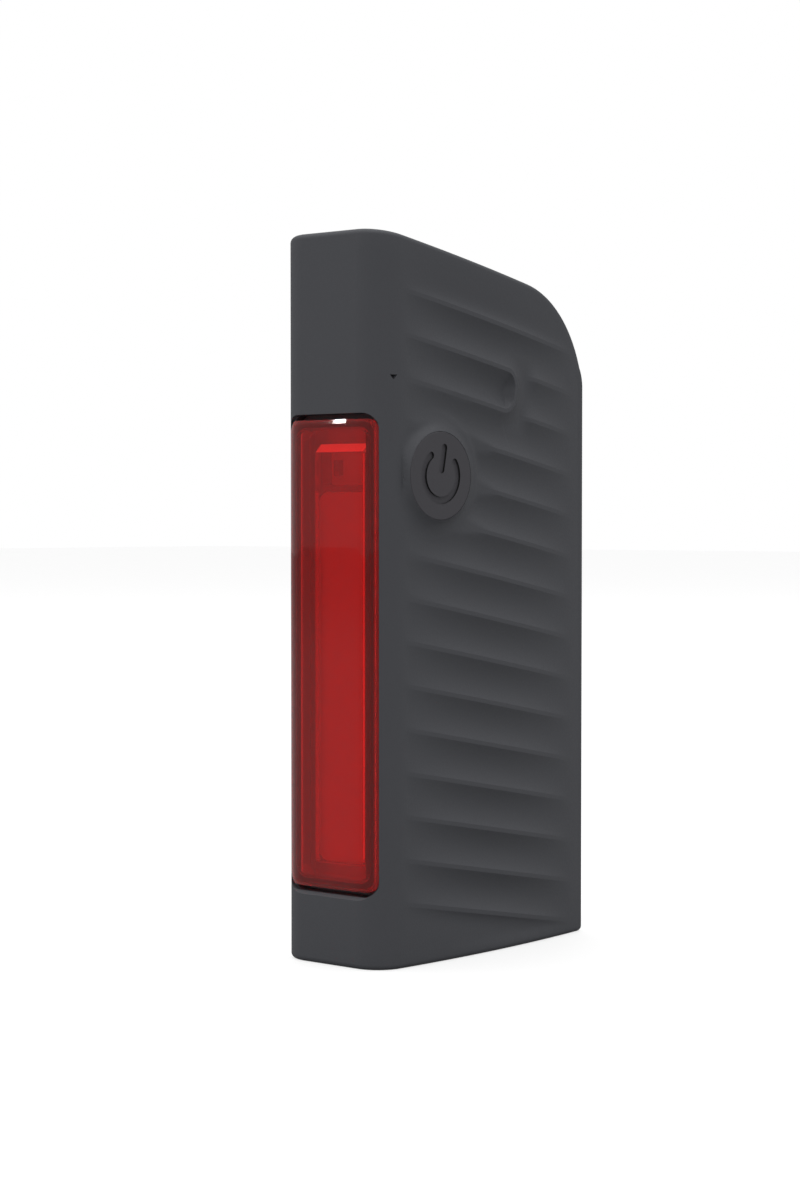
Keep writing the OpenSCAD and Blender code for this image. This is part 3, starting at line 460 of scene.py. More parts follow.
# Shell of the body
def rib_tree():
    """Geometry tree that bows a flat side panel and sinks the channels between its inclined ribs."""
    sizes = ["Half width", "Bow radius", "Half depth", "Slope", "First rib", "Rib step", "Rib width", "Floor",
             "Softness", "Last edge", "Fade length", "Fade depth", "Side"]
    tree, given, result = geometry_tree("inclined_ribs", [(s, "NodeSocketFloat") for s in sizes])
    place = add(tree, "ShaderNodeSeparateXYZ", None, _0=add(tree, "GeometryNodeInputPosition"))
    at = {s: given.outputs[s] for s in sizes}
    at.update(y=place.outputs["Y"], z=place.outputs["Z"])
    # Each line names a value, the sum that gives it and the values it is made of
    sums = [
        ("y square", "MULTIPLY", "y", "y"),
        ("bow square", "MULTIPLY", "Bow radius", "Bow radius"),
        ("chord", "SUBTRACT", "bow square", "y square"),
        ("root", "SQRT", "chord"),
        ("set in", "SUBTRACT", "root", "Bow radius"),
        ("bowed", "ADD", "set in", "Half width"),
        ("over floor", "SUBTRACT", "bowed", "Floor"),
        ("over square", "MULTIPLY", "over floor", "over floor"),
        ("soft square", "MULTIPLY", "Softness", "Softness"),
        ("both", "ADD", "over square", "soft square"),
        ("reach", "SQRT", "both"),
        ("twice room", "ADD", "over floor", "reach"),
        ("room", "MULTIPLY", "twice room", 0.5),
        ("sine", "SINE", "Slope"),
        ("cosine", "COSINE", "Slope"),
        ("behind", "ADD", "y", "Half depth"),
        ("under", "SUBTRACT", "First rib", "z"),
        ("under part", "MULTIPLY", "under", "cosine"),
        ("behind part", "MULTIPLY", "behind", "sine"),
        ("below", "SUBTRACT", "under part", "behind part"),
        ("ribs down", "DIVIDE", "below", "Rib step"),
        ("rib", "FLOOR", "ribs down"),
        ("rib start", "MULTIPLY", "rib", "Rib step"),
        ("past rib", "SUBTRACT", "below", "rib start"),
        ("from upper", "SUBTRACT", "past rib", "Rib width"),
        ("to lower", "SUBTRACT", "Rib step", "past rib"),
        ("edge", "MINIMUM", "from upper", "to lower"),
        ("channel", "SUBTRACT", "Rib step", "Rib width"),
        ("half channel", "MULTIPLY", "channel", 0.5),
        ("raw share", "DIVIDE", "edge", "half channel"),
        ("some", "MAXIMUM", "raw share", 0.0),
        ("share", "MINIMUM", "some", 1.0),
        ("rest", "SUBTRACT", 1.0, "share"),
        ("rest square", "MULTIPLY", "rest", "rest"),
        ("scoop", "SUBTRACT", 1.0, "rest square"),
        ("above first", "MULTIPLY", "below", -1.0),
        ("past last", "SUBTRACT", "below", "Last edge"),
        ("outside", "MAXIMUM", "above first", "past last"),
        ("fade", "DIVIDE", "outside", "Fade length"),
        ("less", "SUBTRACT", 1.0, "fade"),
        ("falling", "EXPONENT", "less"),
        ("hump", "MULTIPLY", "fade", "falling"),
        ("end slope", "MULTIPLY", "hump", "Fade depth"),
        ("is outside", "GREATER_THAN", "outside", 0.0),
        ("is inside", "SUBTRACT", 1.0, "is outside"),
        ("inner", "MULTIPLY", "scoop", "is inside"),
        ("outer", "MULTIPLY", "end slope", "is outside"),
        ("cut", "ADD", "inner", "outer"),
        ("sunk", "MULTIPLY", "cut", "room"),
        ("level", "SUBTRACT", "bowed", "sunk"),
        ("sided", "MULTIPLY", "level", "Side"),
    ]
    for title, operation, *terms in sums:
        values = {f"_{i}": at.get(term, term) for i, term in enumerate(terms)}
        at[title] = add(tree, "ShaderNodeMath", {"operation": operation, "label": title}, **values)
    spot = add(tree, "ShaderNodeCombineXYZ", None, X=at["sided"], Y=at["y"], Z=at["z"])
    moved = add(tree, "GeometryNodeSetPosition", None, Geometry=given.outputs["Geometry"], Position=spot)
    tree.links.new(moved.outputs[0], result.inputs[0])
    return tree


def rib_place(y, z):
    """Distance below the first rib's upper edge and along the ribs, square to their slope."""
    depth, under = y + DEPTH / 2, RIB_FIRST - z
    return (under * math.cos(SLOPE) - depth * math.sin(SLOPE), depth * math.cos(SLOPE) + under * math.sin(SLOPE))


def from_ribs(below, along):
    """Y and Z of a place given below and along the ribs."""
    below, along = np.broadcast_arrays(np.asarray(below, float), np.asarray(along, float))
    depth = along * math.cos(SLOPE) - below * math.sin(SLOPE)
    under = below * math.cos(SLOPE) + along * math.sin(SLOPE)
    return np.stack((depth - DEPTH / 2, RIB_FIRST - under), -1)


def pocket_distance(below, along):
    """Distance outside the pocket's outline, whose front end is open; negative inside."""
    past = along - (POCKET_END - POCKET_RADIUS)
    off = np.abs(below - RIB_STEP - RIB_WIDTH - HALF_CHANNEL) - (HALF_CHANNEL - POCKET_RADIUS)
    return (np.hypot(np.maximum(past, 0), np.maximum(off, 0)) + np.minimum(np.maximum(past, off), 0)
            - POCKET_RADIUS)


def button_radius(y, z):
    """Distance from the button's axis where the cove's rim is."""
    return np.hypot((y - deep(BUTTON_DEPTH)) / math.cos(TILT) + COVE_LIFT * math.tan(TILT), z - BUTTON_HEIGHT)


def scoop(share):
    """Depth across a channel, from 0 at a rib's edge to 1 in the middle."""
    return 1 - (1 - np.clip(share, 0, 1)) ** 2


def button_side(y, z, x):
    """X of the button side: the ribbed side with the pocket, the valley behind it, the bowl and the cove."""
    below, along = rib_place(y, z)
    side = bow(y)
    room = (side - FLOOR_X + np.sqrt((side - FLOOR_X) ** 2 + RIB_SOFT ** 2)) / 2
    off = pocket_distance(below, along)
    ribbed = side - x
    sinking = np.clip(along / POCKET_END, 0, 1) ** 2
    across = np.minimum(below - RIB_STEP - RIB_WIDTH, 2 * RIB_STEP - below)
    share = np.minimum(scoop(across / HALF_CHANNEL), scoop(-off / POCKET_WALL))
    ribbed = np.where(off < 0, (room + POCKET_EXTRA * sinking * ease(0, POCKET_FADE, room)) * share, ribbed)
    # Behind the pocket's corners its rim stands in one wide channel, and the two ribs rise again further back
    upper, lower = RIB_WIDTH, 3 * RIB_STEP
    open_side = np.minimum(np.minimum(below - upper, lower - below), np.maximum(off - RIB_WIDTH, 0))
    valley = room * scoop(open_side / HALF_CHANNEL)
    behind = (along > POCKET_END - POCKET_RADIUS) & (below > upper) & (below < lower) & (off >= 0)
    start = POCKET_END + RIB_WIDTH + VALLEY
    again = ease(start, start + RIB_RISE, along)
    ribbed = np.where(behind, valley * (1 - again) + ribbed * again, ribbed)
    # The bowl only ever lowers the side
    reach = button_radius(y, z)
    bowl = side - (BOWL_X + reach ** 2 / (2 * BOWL_RADIUS))
    gap = bowl - ribbed
    ribbed = ribbed + (gap + np.sqrt(gap ** 2 + RIB_SOFT ** 2) - RIB_SOFT) / 2 * (reach < BOWL_REACH)
    level = side - np.maximum(ribbed, 0)
    # Hollow slope up to the button, steepest at its rim
    drop = COVE_LIFT - COVE_FOOT
    steep = math.pi / 2 - 2 * math.atan(drop / COVE_RUN)
    fillet = COVE_RUN / math.cos(steep)
    out = np.clip((COVE_REACH - reach) / fillet, 0, 1)
    height = np.minimum(COVE_FOOT + fillet * (1 - np.sqrt(1 - out ** 2)), COVE_LIFT)
    height = np.where(reach <= COVE_RIM, COVE_LIFT, height - COVE_SKIRT * np.maximum(reach - COVE_REACH, 0))
    cove = BUTTON_X + (height + (y - deep(BUTTON_DEPTH)) * math.sin(TILT)) / math.cos(TILT)
    blend = np.clip(COVE_SOFT - abs(cove - level), 0, None)
    raised = np.maximum(cove, level) + blend ** 2 / (4 * COVE_SOFT)
    return np.where(reach < COVE_REACH + 5 * COVE_SOFT, np.where(reach <= COVE_RIM, cove, raised), level)


def side_grid(loop, fine_loop, button):
    """Lines along the ribs' edges and points between them, inside the loop of one side."""
    lines = []
    alongs = np.arange(*RIB_SPAN, MESH_STEP)
    pocket_lines = (1, 2) if button else ()
    start = POCKET_END + RIB_WIDTH + VALLEY
    for rib in range(RIB_COUNT):
        for edge in (rib * RIB_STEP, rib * RIB_STEP + RIB_WIDTH):
            run = alongs[alongs > start] if rib in pocket_lines else alongs
            lines.append(from_ribs(edge, run))
    shares = [0.08, 0.2, 0.36, 0.56, 0.78]
    rows = [k * RIB_STEP + RIB_WIDTH + HALF_CHANNEL * s for k in range(-2, RIB_COUNT + 3)
            for s in shares + [1] + [2 - t for t in shares]]
    points = [from_ribs(row, alongs + MESH_SHIFT * (i % 2)) for i, row in enumerate(rows)]
    if button:
        corner = np.linspace(0, math.pi / 2, 14)
        for grow in (0, RIB_WIDTH):
            radius, end = POCKET_RADIUS + grow, POCKET_END - POCKET_RADIUS
            top = RIB_STEP + RIB_WIDTH + POCKET_RADIUS
            foot = 2 * RIB_STEP - POCKET_RADIUS
            straight = np.arange(RIB_SPAN[0], end, MESH_STEP)
            lines.append(np.concatenate((
                from_ribs(top - radius, straight),
                from_ribs(top - radius * np.cos(corner), end + radius * np.sin(corner)),
                from_ribs(np.arange(top + 0.2, foot, 0.2), end + radius),
                from_ribs(foot + radius * np.sin(corner), end + radius * np.cos(corner)),
                from_ribs(foot + radius, straight[::-1]))))
        fine = np.stack(np.meshgrid(np.arange(RIB_WIDTH + POINT_GAP, 3 * RIB_STEP - 0.2, FINE_STEP),
                                    np.arange(POCKET_END - 3.2, start + RIB_RISE, FINE_STEP)), -1).reshape(-1, 2)
        points.append(from_ribs(fine[:, 0], fine[:, 1]))
    points = np.concatenate(points)
    kept = []
    for line in lines:
        good = inside(line, loop) & (gap_to(line, fine_loop) > POINT_GAP)
        if button:
            good &= button_radius(line[:, 0], line[:, 1]) > COVE_REACH + 0.4
        cuts = np.flatnonzero(np.diff(good.astype(int))) + 1
        kept += [part for part, yes in zip(np.split(line, cuts), np.split(good, cuts)) if yes[0] and len(part) > 1]
    edges = np.concatenate(kept)
    points = points[inside(points, loop)]
    points = points[gap_to(points, fine_loop) > POINT_GAP]
    if button:
        points = points[button_radius(points[:, 0], points[:, 1]) > COVE_REACH + 0.35]
        shift = np.array([deep(BUTTON_DEPTH) - COVE_LIFT * math.sin(TILT), BUTTON_HEIGHT])
        squeeze = np.array([math.cos(TILT), 1])
        ring = circle(COVE_RIM, 160) * squeeze + shift
        kept.append(np.concatenate((ring, ring[:1])))
        rings = [circle(r, 160) * squeeze + shift for r in COVE_RIM + COVE_RUN * np.array(
            [0.03, 0.07, 0.13, 0.2, 0.29, 0.4, 0.52, 0.65, 0.78, 0.9, 1.02, 1.12])]
        rings += [circle(r, 48) * squeeze + shift for r in (4.6, 3.0, 1.2)]
        points = np.concatenate([points] + rings)
    return kept, points[gap_to(points, edges) > EDGE_GAP]


def plan_half():
    """Plan of the right half from front to rear: points, outward normals, and where side, curve and foot start."""
    rear_corner = corner_centre(DEPTH - REAR_CORNER, REAR_CORNER)
    first, last = (math.atan2(c[0] - BOW_CENTRE, -c[1]) for c in (front_corner, rear_corner))
    curve, foot = (math.acos(-deep(d) / BOW_RADIUS) for d in (CURVE_START, DEPTH - FOOT_RADIUS))
    runs = [(front_corner, CORNER_RADIUS, np.linspace(0, first, 33))]
    for start, end, count in ((first, curve, 40), (curve, foot, 30), (foot, last, 2)):
        runs.append(((BOW_CENTRE, 0), BOW_RADIUS, np.linspace(start, end, count)[1:]))
    runs.append((rear_corner, REAR_CORNER, np.linspace(last, math.pi, 13)[1:]))
    ways = [np.stack((np.sin(turns), -np.cos(turns)), 1) for _, _, turns in runs]
    points = [np.array(centre) + radius * way for (centre, radius, _), way in zip(runs, ways)]
    starts = np.cumsum([len(way) for way in ways]) - 1
    return np.concatenate(points), np.concatenate(ways), [int(s) for s in starts[:4]]


def round_over(edge, first, second, count=ROUND_STEPS):
    """Points of the arc that rounds an edge, from the face with the first normal to the face with the second."""
    dot = float(np.clip(first @ second, -1, 1))
    centre = edge - EDGE_RADIUS * (first + second) / (1 + dot)
    turn = math.acos(dot)
    if turn < 1e-4:
        return np.repeat((centre + EDGE_RADIUS * first)[None], count, 0)
    share = np.linspace(0, turn, count)[:, None]
    return centre + EDGE_RADIUS * (np.sin(turn - share) * first + np.sin(share) * second) / math.sin(turn)


def section(spot, way, levels):
    """Upright line of the skin at a place of the plan, from the base over both rounded edges to the top."""
    depth = spot[1] - deep(0)
    out = np.array((*way, 0))
    if depth > CURVE_START:
        turn = math.asin(min((depth - CURVE_DEPTH) / REAR_TOP_RADIUS, 1))
        top, up = CURVE_HEIGHT + REAR_TOP_RADIUS * math.cos(turn), np.array((0, math.sin(turn), math.cos(turn)))
    else:
        top, up = FRONT_HEIGHT - depth * math.tan(SLOPE), np.array((0, math.sin(SLOPE), math.cos(SLOPE)))
    turn = math.asin(min(max(depth - DEPTH + FOOT_RADIUS, 0) / FOOT_RADIUS, 1))
    foot, down = FOOT_RADIUS * (1 - math.cos(turn)), np.array((0, math.sin(turn), -math.cos(turn)))
    lower = round_over(np.array((*spot, foot)), down, out)
    upper = round_over(np.array((*spot, top)), out, up)
    share = np.linspace(0, 1, levels + 1)[1:-1, None]
    return np.concatenate((lower, lower[-1] * (1 - share) + upper[0] * share, upper))


def body_shell():
    """Closed outer skin of the body: front, rear, top, base and their rounded edges, and two ribbed sides."""
    plan, ways, (side, curve, foot, side_end) = plan_half()
    levels = 56
    right = np.array([section(spot, way, levels) for spot, way in zip(plan, ways)])
    # The side's own points lie exactly on its bow
    low, high = ROUND_STEPS - 1, ROUND_STEPS - 1 + levels
    walls = right[side:side_end + 1, low:high + 1]
    walls[..., 0] = bow(walls[..., 1])
    half, count = right.shape[:2]
    columns = np.concatenate((right, right[::-1] * (-1, 1, 1)))
    points = columns.reshape(-1, 3)
    faces = []
    for c in range(2 * half):
        follow = (c + 1) % (2 * half)
        ribbed = side <= min(c, 2 * half - 2 - c) < side_end
        faces += [(c * count + k, follow * count + k, follow * count + k + 1, c * count + k + 1)
                  for k in range(count - 1) if not (ribbed and low <= k < high)]
    for end, start in ((count - 1, curve), (0, foot)):
        mirror = [(2 * half - 1 - c) * count + end for c in range(half)]
        line = [c * count + end for c in range(half)]
        faces.append(tuple(line[:start + 1] + mirror[start::-1]))
        faces += [(line[c], line[c + 1], mirror[c + 1], mirror[c]) for c in range(start, half - 1)]
    loop = np.concatenate((right[side:side_end, low], right[side_end, low:high], right[side_end:side:-1, high],
                           right[side, high:low:-1]))[:, 1:]
    tree = rib_tree()
    sizes = {"Half width": HALF_WIDTH, "Bow radius": BOW_RADIUS, "Half depth": DEPTH / 2, "First rib": RIB_FIRST,
             "Rib step": RIB_STEP, "Rib width": RIB_WIDTH, "Floor": FLOOR_X, "Softness": RIB_SOFT,
             "Last edge": (RIB_COUNT - 1) * RIB_STEP + RIB_WIDTH, "Fade length": FADE_LENGTH}
    sizes = {key: float(value) * MM for key, value in sizes.items()}
    fine = np.concatenate([loop + (np.roll(loop, -1, 0) - loop) * share for share in (0, 0.2, 0.4, 0.6, 0.8)])
    for way in (1, -1):
        flat, triangles = triangulate(loop, *side_grid(loop, fine, way > 0))
        panel = new_piece("panel", [(0, y, z) for y, z in flat], triangles)
        run_tree(panel, tree, {**sizes, "Slope": SLOPE, "Fade depth": FADE_DEPTH, "Side": float(way)})
        spots = np.array([tuple(v.co) for v in panel.data.vertices]) / MM
        if way > 0:
            spots[:, 0] = button_side(spots[:, 1], spots[:, 2], spots[:, 0])
        # Channels and the mound fade out before the rounded rim, so that side and rim meet
        plain = way * bow(spots[:, 1])
        lift, edge_gap = spots[:, 0] - plain, gap_to(spots[:, 1:], fine)
        spots[:, 0] = plain + lift * ease(0, np.where(lift * way > 0, MOUND_FADE, RIM_FADE), edge_gap)
        start = len(points)
        points = np.concatenate((points, spots))
        faces += [tuple(start + v for v in p.vertices) for p in panel.data.polygons]
        discard(panel)
    bpy.data.node_groups.remove(tree)
    return weld(new_piece("housing_shell", points, faces), SKIN_WELD)


def bowed_block(name, outline, inset):
    """Closed solid with an outline in side view, between the two bowed sides set in by a wall."""
    count = len(outline)
    grid = np.stack(np.meshgrid(np.arange(deep(0), deep(DEPTH), 1.0), np.arange(0, FRONT_HEIGHT, 3.0)), -1)
    grid = grid.reshape(-1, 2)
    grid = grid[inside(grid, outline)]
    flat, triangles = triangulate(outline, [], grid[gap_to(grid, outline) > 0.4])
    points = [(way * float(bow(y, inset)), y, z) for way in (1, -1) for y, z in np.concatenate((outline, flat))]
    half = count + len(flat)
    faces = [(i, (i + 1) % count, half + (i + 1) % count, half + i) for i in range(count)]
    faces += [tuple(way * half + count + v for v in face) for way in (0, 1) for face in triangles]
    return weld(new_piece(name, points, faces), SKIN_WELD)


def box_outline(low_u, high_u, low_v, high_v):
    """Outline of a plain rectangle."""
    return [(low_u, low_v), (low_u, high_v), (high_u, high_v), (high_u, low_v)]


def cavity():
    """Room inside the body's walls."""
    def ceiling(depth):
        return FRONT_HEIGHT - depth * math.tan(SLOPE) - END_WALL / math.cos(SLOPE)
    rear = DEPTH - REAR_WALL
    corners = [(FRONT_WALL, END_WALL, 0), (FRONT_WALL, ceiling(FRONT_WALL), 0),
               (rear, ceiling(rear), REAR_TOP_RADIUS - REAR_WALL), (rear, END_WALL, 0)]
    return bowed_block("cavity", rounded(corners, 0.3) + (deep(0), 0), SIDE_WALL)


def body_cuts():
    """One solid of everything that is open in the body."""
    mouth = (LENS_BOTTOM - GAP_UNDER, LENS_TOP + GAP_OVER)
    collar = (LENS_BOTTOM + COLLAR_MARGIN, LENS_TOP - COLLAR_MARGIN)
    cuts = [
        cavity(),
        prism("mouth", oblong(LENS_HALF + FREE, *mouth, LENS_CORNER + GAP_OVER), FRONT, -OVER, SEAM_DEPTH),
        prism("seat", oblong(SEAT_HALF, *mouth, LENS_CORNER), FRONT, -OVER, SEAT_DEPTH),
        prism("window", oblong(COLLAR_HALF + FREE, collar[0] - FREE, collar[1] + FREE, COLLAR_RADIUS), FRONT, 0,
              FRONT_WALL + OVER),
        prism("sill", oblong(LENS_HALF + FREE, *mouth, LENS_CORNER + GAP_OVER), SILL_SWEEP, -OVER,
              FRONT_FLAT + SILL),
        prism("vent", [(VENT_DEPTH, VENT_Z), (VENT_DEPTH + VENT_LONG, VENT_Z),
                       (VENT_DEPTH + VENT_LONG / 2, VENT_Z - VENT_HIGH)], SIDE,
              corner_x(VENT_DEPTH) - VENT_SUNK, HALF_WIDTH + OVER),
        prism("rebate", oblong(COVER_HALF + FREE, COVER_BOTTOM - FREE, COVER_TOP + FREE, COVER_RADIUS), FRONT,
              REBATE_DEPTH, DEPTH + OVER),
        prism("rear_window", oblong(REAR_HALF, COVER_BOTTOM + 2 * SCREW_INSET, COVER_TOP - 2 * SCREW_INSET,
                                    COVER_RADIUS), FRONT, DEPTH - REAR_WALL - OVER, REBATE_DEPTH + OVER),
        prism("flap_bay", box_outline(-BAY_HALF, BAY_HALF, *BAY_ENDS), PLAN, -OVER, BAY_TOP),
        prism("port", oblong(PORT_HALF[0], -PORT_HALF[1], PORT_HALF[1], PORT_RADIUS), PLAN, BAY_TOP - OVER,
              END_WALL + OVER),
        prism("pivot_bore", circle(PIVOT_BORE, 32, (flap_pivot[0] - deep(0), flap_pivot[1])), SIDE, -PIVOT_REACH,
              PIVOT_REACH),
        prism("finger_notch", circle(NOTCH_RADIUS, 48, (0, BAY_ENDS[0])), PLAN, -OVER, BAY_TOP - FREE),
        prism("button_hole", circle(HOLE_RADIUS, 128), BUTTON, -OVER, 3 * OVER),
        prism("button_bay", circle(SEAT_RADIUS, 96), BUTTON, SEAT_FLOOR, BUTTON_LIFT - SEAT_LID),
    ]
    cuts += [prism("insert_hole", circle(INSERT_RADIUS, 40, (x, z)), FRONT, REBATE_DEPTH - INSERT_LONG,
                   REBATE_DEPTH + OVER) for x, z in screw_places]
    whole = cuts[0]
    for cut in cuts[1:]:
        combine(whole, cut, "UNION")
    return whole


def on_rib_edge(ends):
    """Which edges of the shell lie along a rib, the pocket's rim or the cove's rim."""
    points = np.concatenate((ends, ends.mean(1, keepdims=True)), 1)
    x, y, z = points[..., 0], points[..., 1], points[..., 2]
    below, along = rib_place(y, z)
    rib = np.floor(below / RIB_STEP + NEAR_EDGE)
    past = below - rib * RIB_STEP
    band = (np.minimum(abs(past), abs(past - RIB_WIDTH)) < NEAR_EDGE) & (rib >= 0) & (rib < RIB_COUNT)
    off = pocket_distance(below, along)
    rim = (np.minimum(abs(off), abs(off - RIB_WIDTH)) < 4 * NEAR_EDGE) & (x > 0)
    rim |= (abs(button_radius(y, z) - COVE_RIM) < NEAR_EDGE) & (x > 0)
    on_side = abs(x) > bow(np.clip(y, deep(0), deep(DEPTH))) - SIDE_BAND
    return ((band.all(1) | rim.all(1)) & on_side.all(1))


shell = shade(combine(body_shell(), body_cuts(), "DIFFERENCE"), 24, on_rib_edge)


# Lens
def lens_depth(x, z):
    """Depth of the lens's front: flat, with the body's rounded corners and a chamfer at its two ends."""
    past = np.clip(abs(x) - front_corner[0], 0, None)
    side = FRONT_FLAT + CORNER_RADIUS - np.sqrt(CORNER_RADIUS ** 2 - past ** 2)
    off_x = abs(x) - (LENS_HALF - LENS_CORNER)
    off_z = abs(z - (LENS_BOTTOM + LENS_TOP) / 2) - ((LENS_TOP - LENS_BOTTOM) / 2 - LENS_CORNER)
    corner = (off_x > 0) & (off_z > 0)
    reach = np.hypot(off_x, off_z)
    room = np.where(corner, LENS_CORNER - reach, LENS_CORNER - np.maximum(off_x, off_z))
    upright = np.where(corner, off_z / np.maximum(reach, 1e-9), off_z > off_x)
    bite = np.clip(LENS_CHAMFER - room, 0, LENS_CHAMFER)
    return np.minimum(side + upright * bite * CHAMFER_SLOPE, LENS_BACK)


def lens_block():
    """Red lens: its rounded front, the plate behind it and the collar that nests round the light guide."""
    loop = oblong(LENS_HALF, LENS_BOTTOM, LENS_TOP, LENS_CORNER)
    lines = []
    for off in (LENS_CHAMFER / 2, LENS_CHAMFER):
        line = oblong(LENS_HALF - off, LENS_BOTTOM + off, LENS_TOP - off, LENS_CORNER - off)
        lines.append(np.concatenate((line, line[:1])))
    sides = [front_corner[0] + CORNER_RADIUS * math.sin(t) for t in np.linspace(0, 0.74, 22)]
    columns = np.unique([way * x for way in (-1, 1) for x in [0, 1.5, 3] + sides])
    rows = np.arange(LENS_BOTTOM + 0.6, LENS_TOP - 0.5, 1.5)
    grid = np.stack(np.meshgrid(columns, rows), -1).reshape(-1, 2)
    grid = grid[inside(grid, loop)]
    grid = grid[gap_to(grid, np.concatenate(lines + [loop])) > 0.05]
    flat, triangles = triangulate(loop, lines, grid)
    count, front = len(loop), len(flat)
    points = [(x, deep(d), z) for (x, z), d in zip(flat, lens_depth(flat[:, 0], flat[:, 1]))]
    points += [(x, deep(d), z) for (x, z), d in zip(loop, lens_depth(loop[:, 0], loop[:, 1]))]
    points += [(x, deep(LENS_BACK + 0.01), z) for x, z in loop]
    faces = list(triangles) + [tuple(range(front + count, front + 2 * count))]
    faces += [(front + i, front + (i + 1) % count, front + count + (i + 1) % count, front + count + i)
              for i in range(count)]
    lens = weld(new_piece("red_lens", points, faces), SKIN_WELD)
    collar = (LENS_BOTTOM + COLLAR_MARGIN, LENS_TOP - COLLAR_MARGIN)
    inner = (collar[0] + COLLAR_WALL, collar[1] - COLLAR_WALL)
    half = SEAM_DEPTH / 2 + 0.2
    ring = prism("collar", oblong(COLLAR_HALF, *collar, COLLAR_RADIUS), FRONT, half, COLLAR_DEPTH)
    plate = oblong(SEAT_HALF - FREE, LENS_BOTTOM + SILL, LENS_TOP - SILL, LENS_CORNER)
    combine(ring, prism("plate", plate, FRONT, half, LENS_THICK), "UNION")
    combine(lens, ring, "UNION")
    # The room behind the lens has the same round sides as the front, so that the wall stays even
    turns = np.linspace(-math.pi / 2, math.pi / 2, 61)
    curve = [(math.copysign(front_corner[0], t) + ROOM_BEND * math.sin(t),
              front_corner[1] - ROOM_BEND * math.cos(t)) for t in turns]
    back = deep(COLLAR_DEPTH + OVER)
    room = prism("room", curve + [(ROOM_SIDE, back), (-ROOM_SIDE, back)], PLAN, *inner)
    limit = oblong(COLLAR_HALF - COLLAR_WALL, *inner, COLLAR_RADIUS - COLLAR_WALL)
    combine(room, prism("limit", limit, FRONT, 0, COLLAR_DEPTH + OVER), "INTERSECT")
    return shade(combine(lens, room, "DIFFERENCE"), 20)


lens = lens_block()


# Button
def lathe(name, profile, place, count=128):
    """Closed solid turned from a profile of (radius, level), which starts and ends on the axis."""
    rings = [(r, w) for r, w in profile if r > 0]
    points = [place @ Vector((r * math.cos(a), r * math.sin(a), w)) for r, w in rings
              for a in np.linspace(0, 2 * math.pi, count, endpoint=False)]
    faces = [(k * count + i, k * count + (i + 1) % count, (k + 1) * count + (i + 1) % count, (k + 1) * count + i)
             for k in range(len(rings) - 1) for i in range(count)]
    faces += [tuple(range(count)), tuple(range((len(rings) - 1) * count, len(rings) * count))]
    return weld(new_piece(name, points, faces))


def arc(radius, first, last, count, centre=(0, 0)):
    """Points on an arc between two angles in degrees."""
    turn = np.radians(np.linspace(first, last, count))
    return np.stack((centre[0] + radius * np.cos(turn), centre[1] + radius * np.sin(turn)), 1)


def power_symbol():
    """Cutters of a generic power symbol: an open ring and a bar, with round ends."""
    up = 90 - SYMBOL_TURN
    first, last = up + SYMBOL_GAP, up + 360 - SYMBOL_GAP
    middle = (SYMBOL_OUTER + SYMBOL_INNER) / 2
    stroke = (SYMBOL_OUTER - SYMBOL_INNER) / 2
    start, end = (arc(middle, a, a, 1)[0] for a in (first, last))
    ring = np.concatenate((
        arc(SYMBOL_OUTER, first, last, 72), arc(stroke, last, last + 180, 10, end)[1:-1],
        arc(SYMBOL_INNER, last, first, 72), arc(stroke, first + 180, first + 360, 10, start)[1:-1]))
    way = arc(1, up, up, 1)[0]
    low, high = way * (SYMBOL_BAR_START + stroke), way * (SYMBOL_BAR - stroke)
    bar = np.concatenate((arc(stroke, up - 90, up + 90, 12, high), arc(stroke, up + 90, up + 270, 12, low)))
    return [prism("ring", ring, BUTTON, BUTTON_LIFT - SYMBOL_SUNK, 3 * OVER),
            prism("bar", bar, BUTTON, BUTTON_LIFT - SYMBOL_SUNK, 3 * OVER)]


def button_block():
    """Button with a softly rounded face edge, its flange and stem, and the sunk power symbol."""
    stem_end = (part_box("switch_plunger")[1].x / MM + FREE - BUTTON_X) / math.cos(TILT)
    edge = [(BUTTON_RADIUS - BUTTON_EDGE * (1 - math.sin(t)), BUTTON_LIFT - BUTTON_EDGE * (1 - math.cos(t)))
            for t in np.linspace(0, math.pi / 2, 6)]
    flange = BUTTON_LIFT - CAP
    profile = edge + [(BUTTON_RADIUS, flange), (BUTTON_FLANGE, flange), (BUTTON_FLANGE, flange - FLANGE_THICK),
                      (STEM_RADIUS, flange - FLANGE_THICK), (STEM_RADIUS, stem_end)]
    button = lathe("button", profile, BUTTON)
    for cut in power_symbol():
        combine(button, cut, "DIFFERENCE")
    return shade(button, 30)


button = button_block()


# Pieces whose edges are only softened
def softened(name, node, width, segments=2):
    """Copy of a node's solid with its edges rounded over."""
    piece = bpy.data.objects.new(name, frame["nodes"][node].data.copy())
    piece.data.materials.clear()
    bpy.context.scene.collection.objects.link(piece)
    work = bmesh.new()
    work.from_mesh(piece.data)
    bmesh.ops.remove_doubles(work, verts=work.verts, dist=0.0005 * MM)
    bmesh.ops.dissolve_limit(work, angle_limit=math.radians(0.5), verts=work.verts, edges=work.edges)
    work.to_mesh(piece.data)
    work.free()
    step = piece.modifiers.new("round", "BEVEL")
    step.width = width * MM
    step.segments = segments
    step.limit_method = "ANGLE"
    step.angle_limit = math.radians(SOFT_ANGLE)
    step.harden_normals = False
    return shade(settle(piece), 38)


cover = softened("rear_cover_panel", "rear_cover", 0.15)
flap = softened("port_flap", "port_cover", 0.12)
guide = softened("guide_block", "light_guide", 0.05, 1)
panel = softened("diffuser_panel", "diffuser", 0.15)
tray = softened("reflector_tray", "reflector", 0.1)
socket = softened("port_socket", "usb_socket", 0.05, 1)


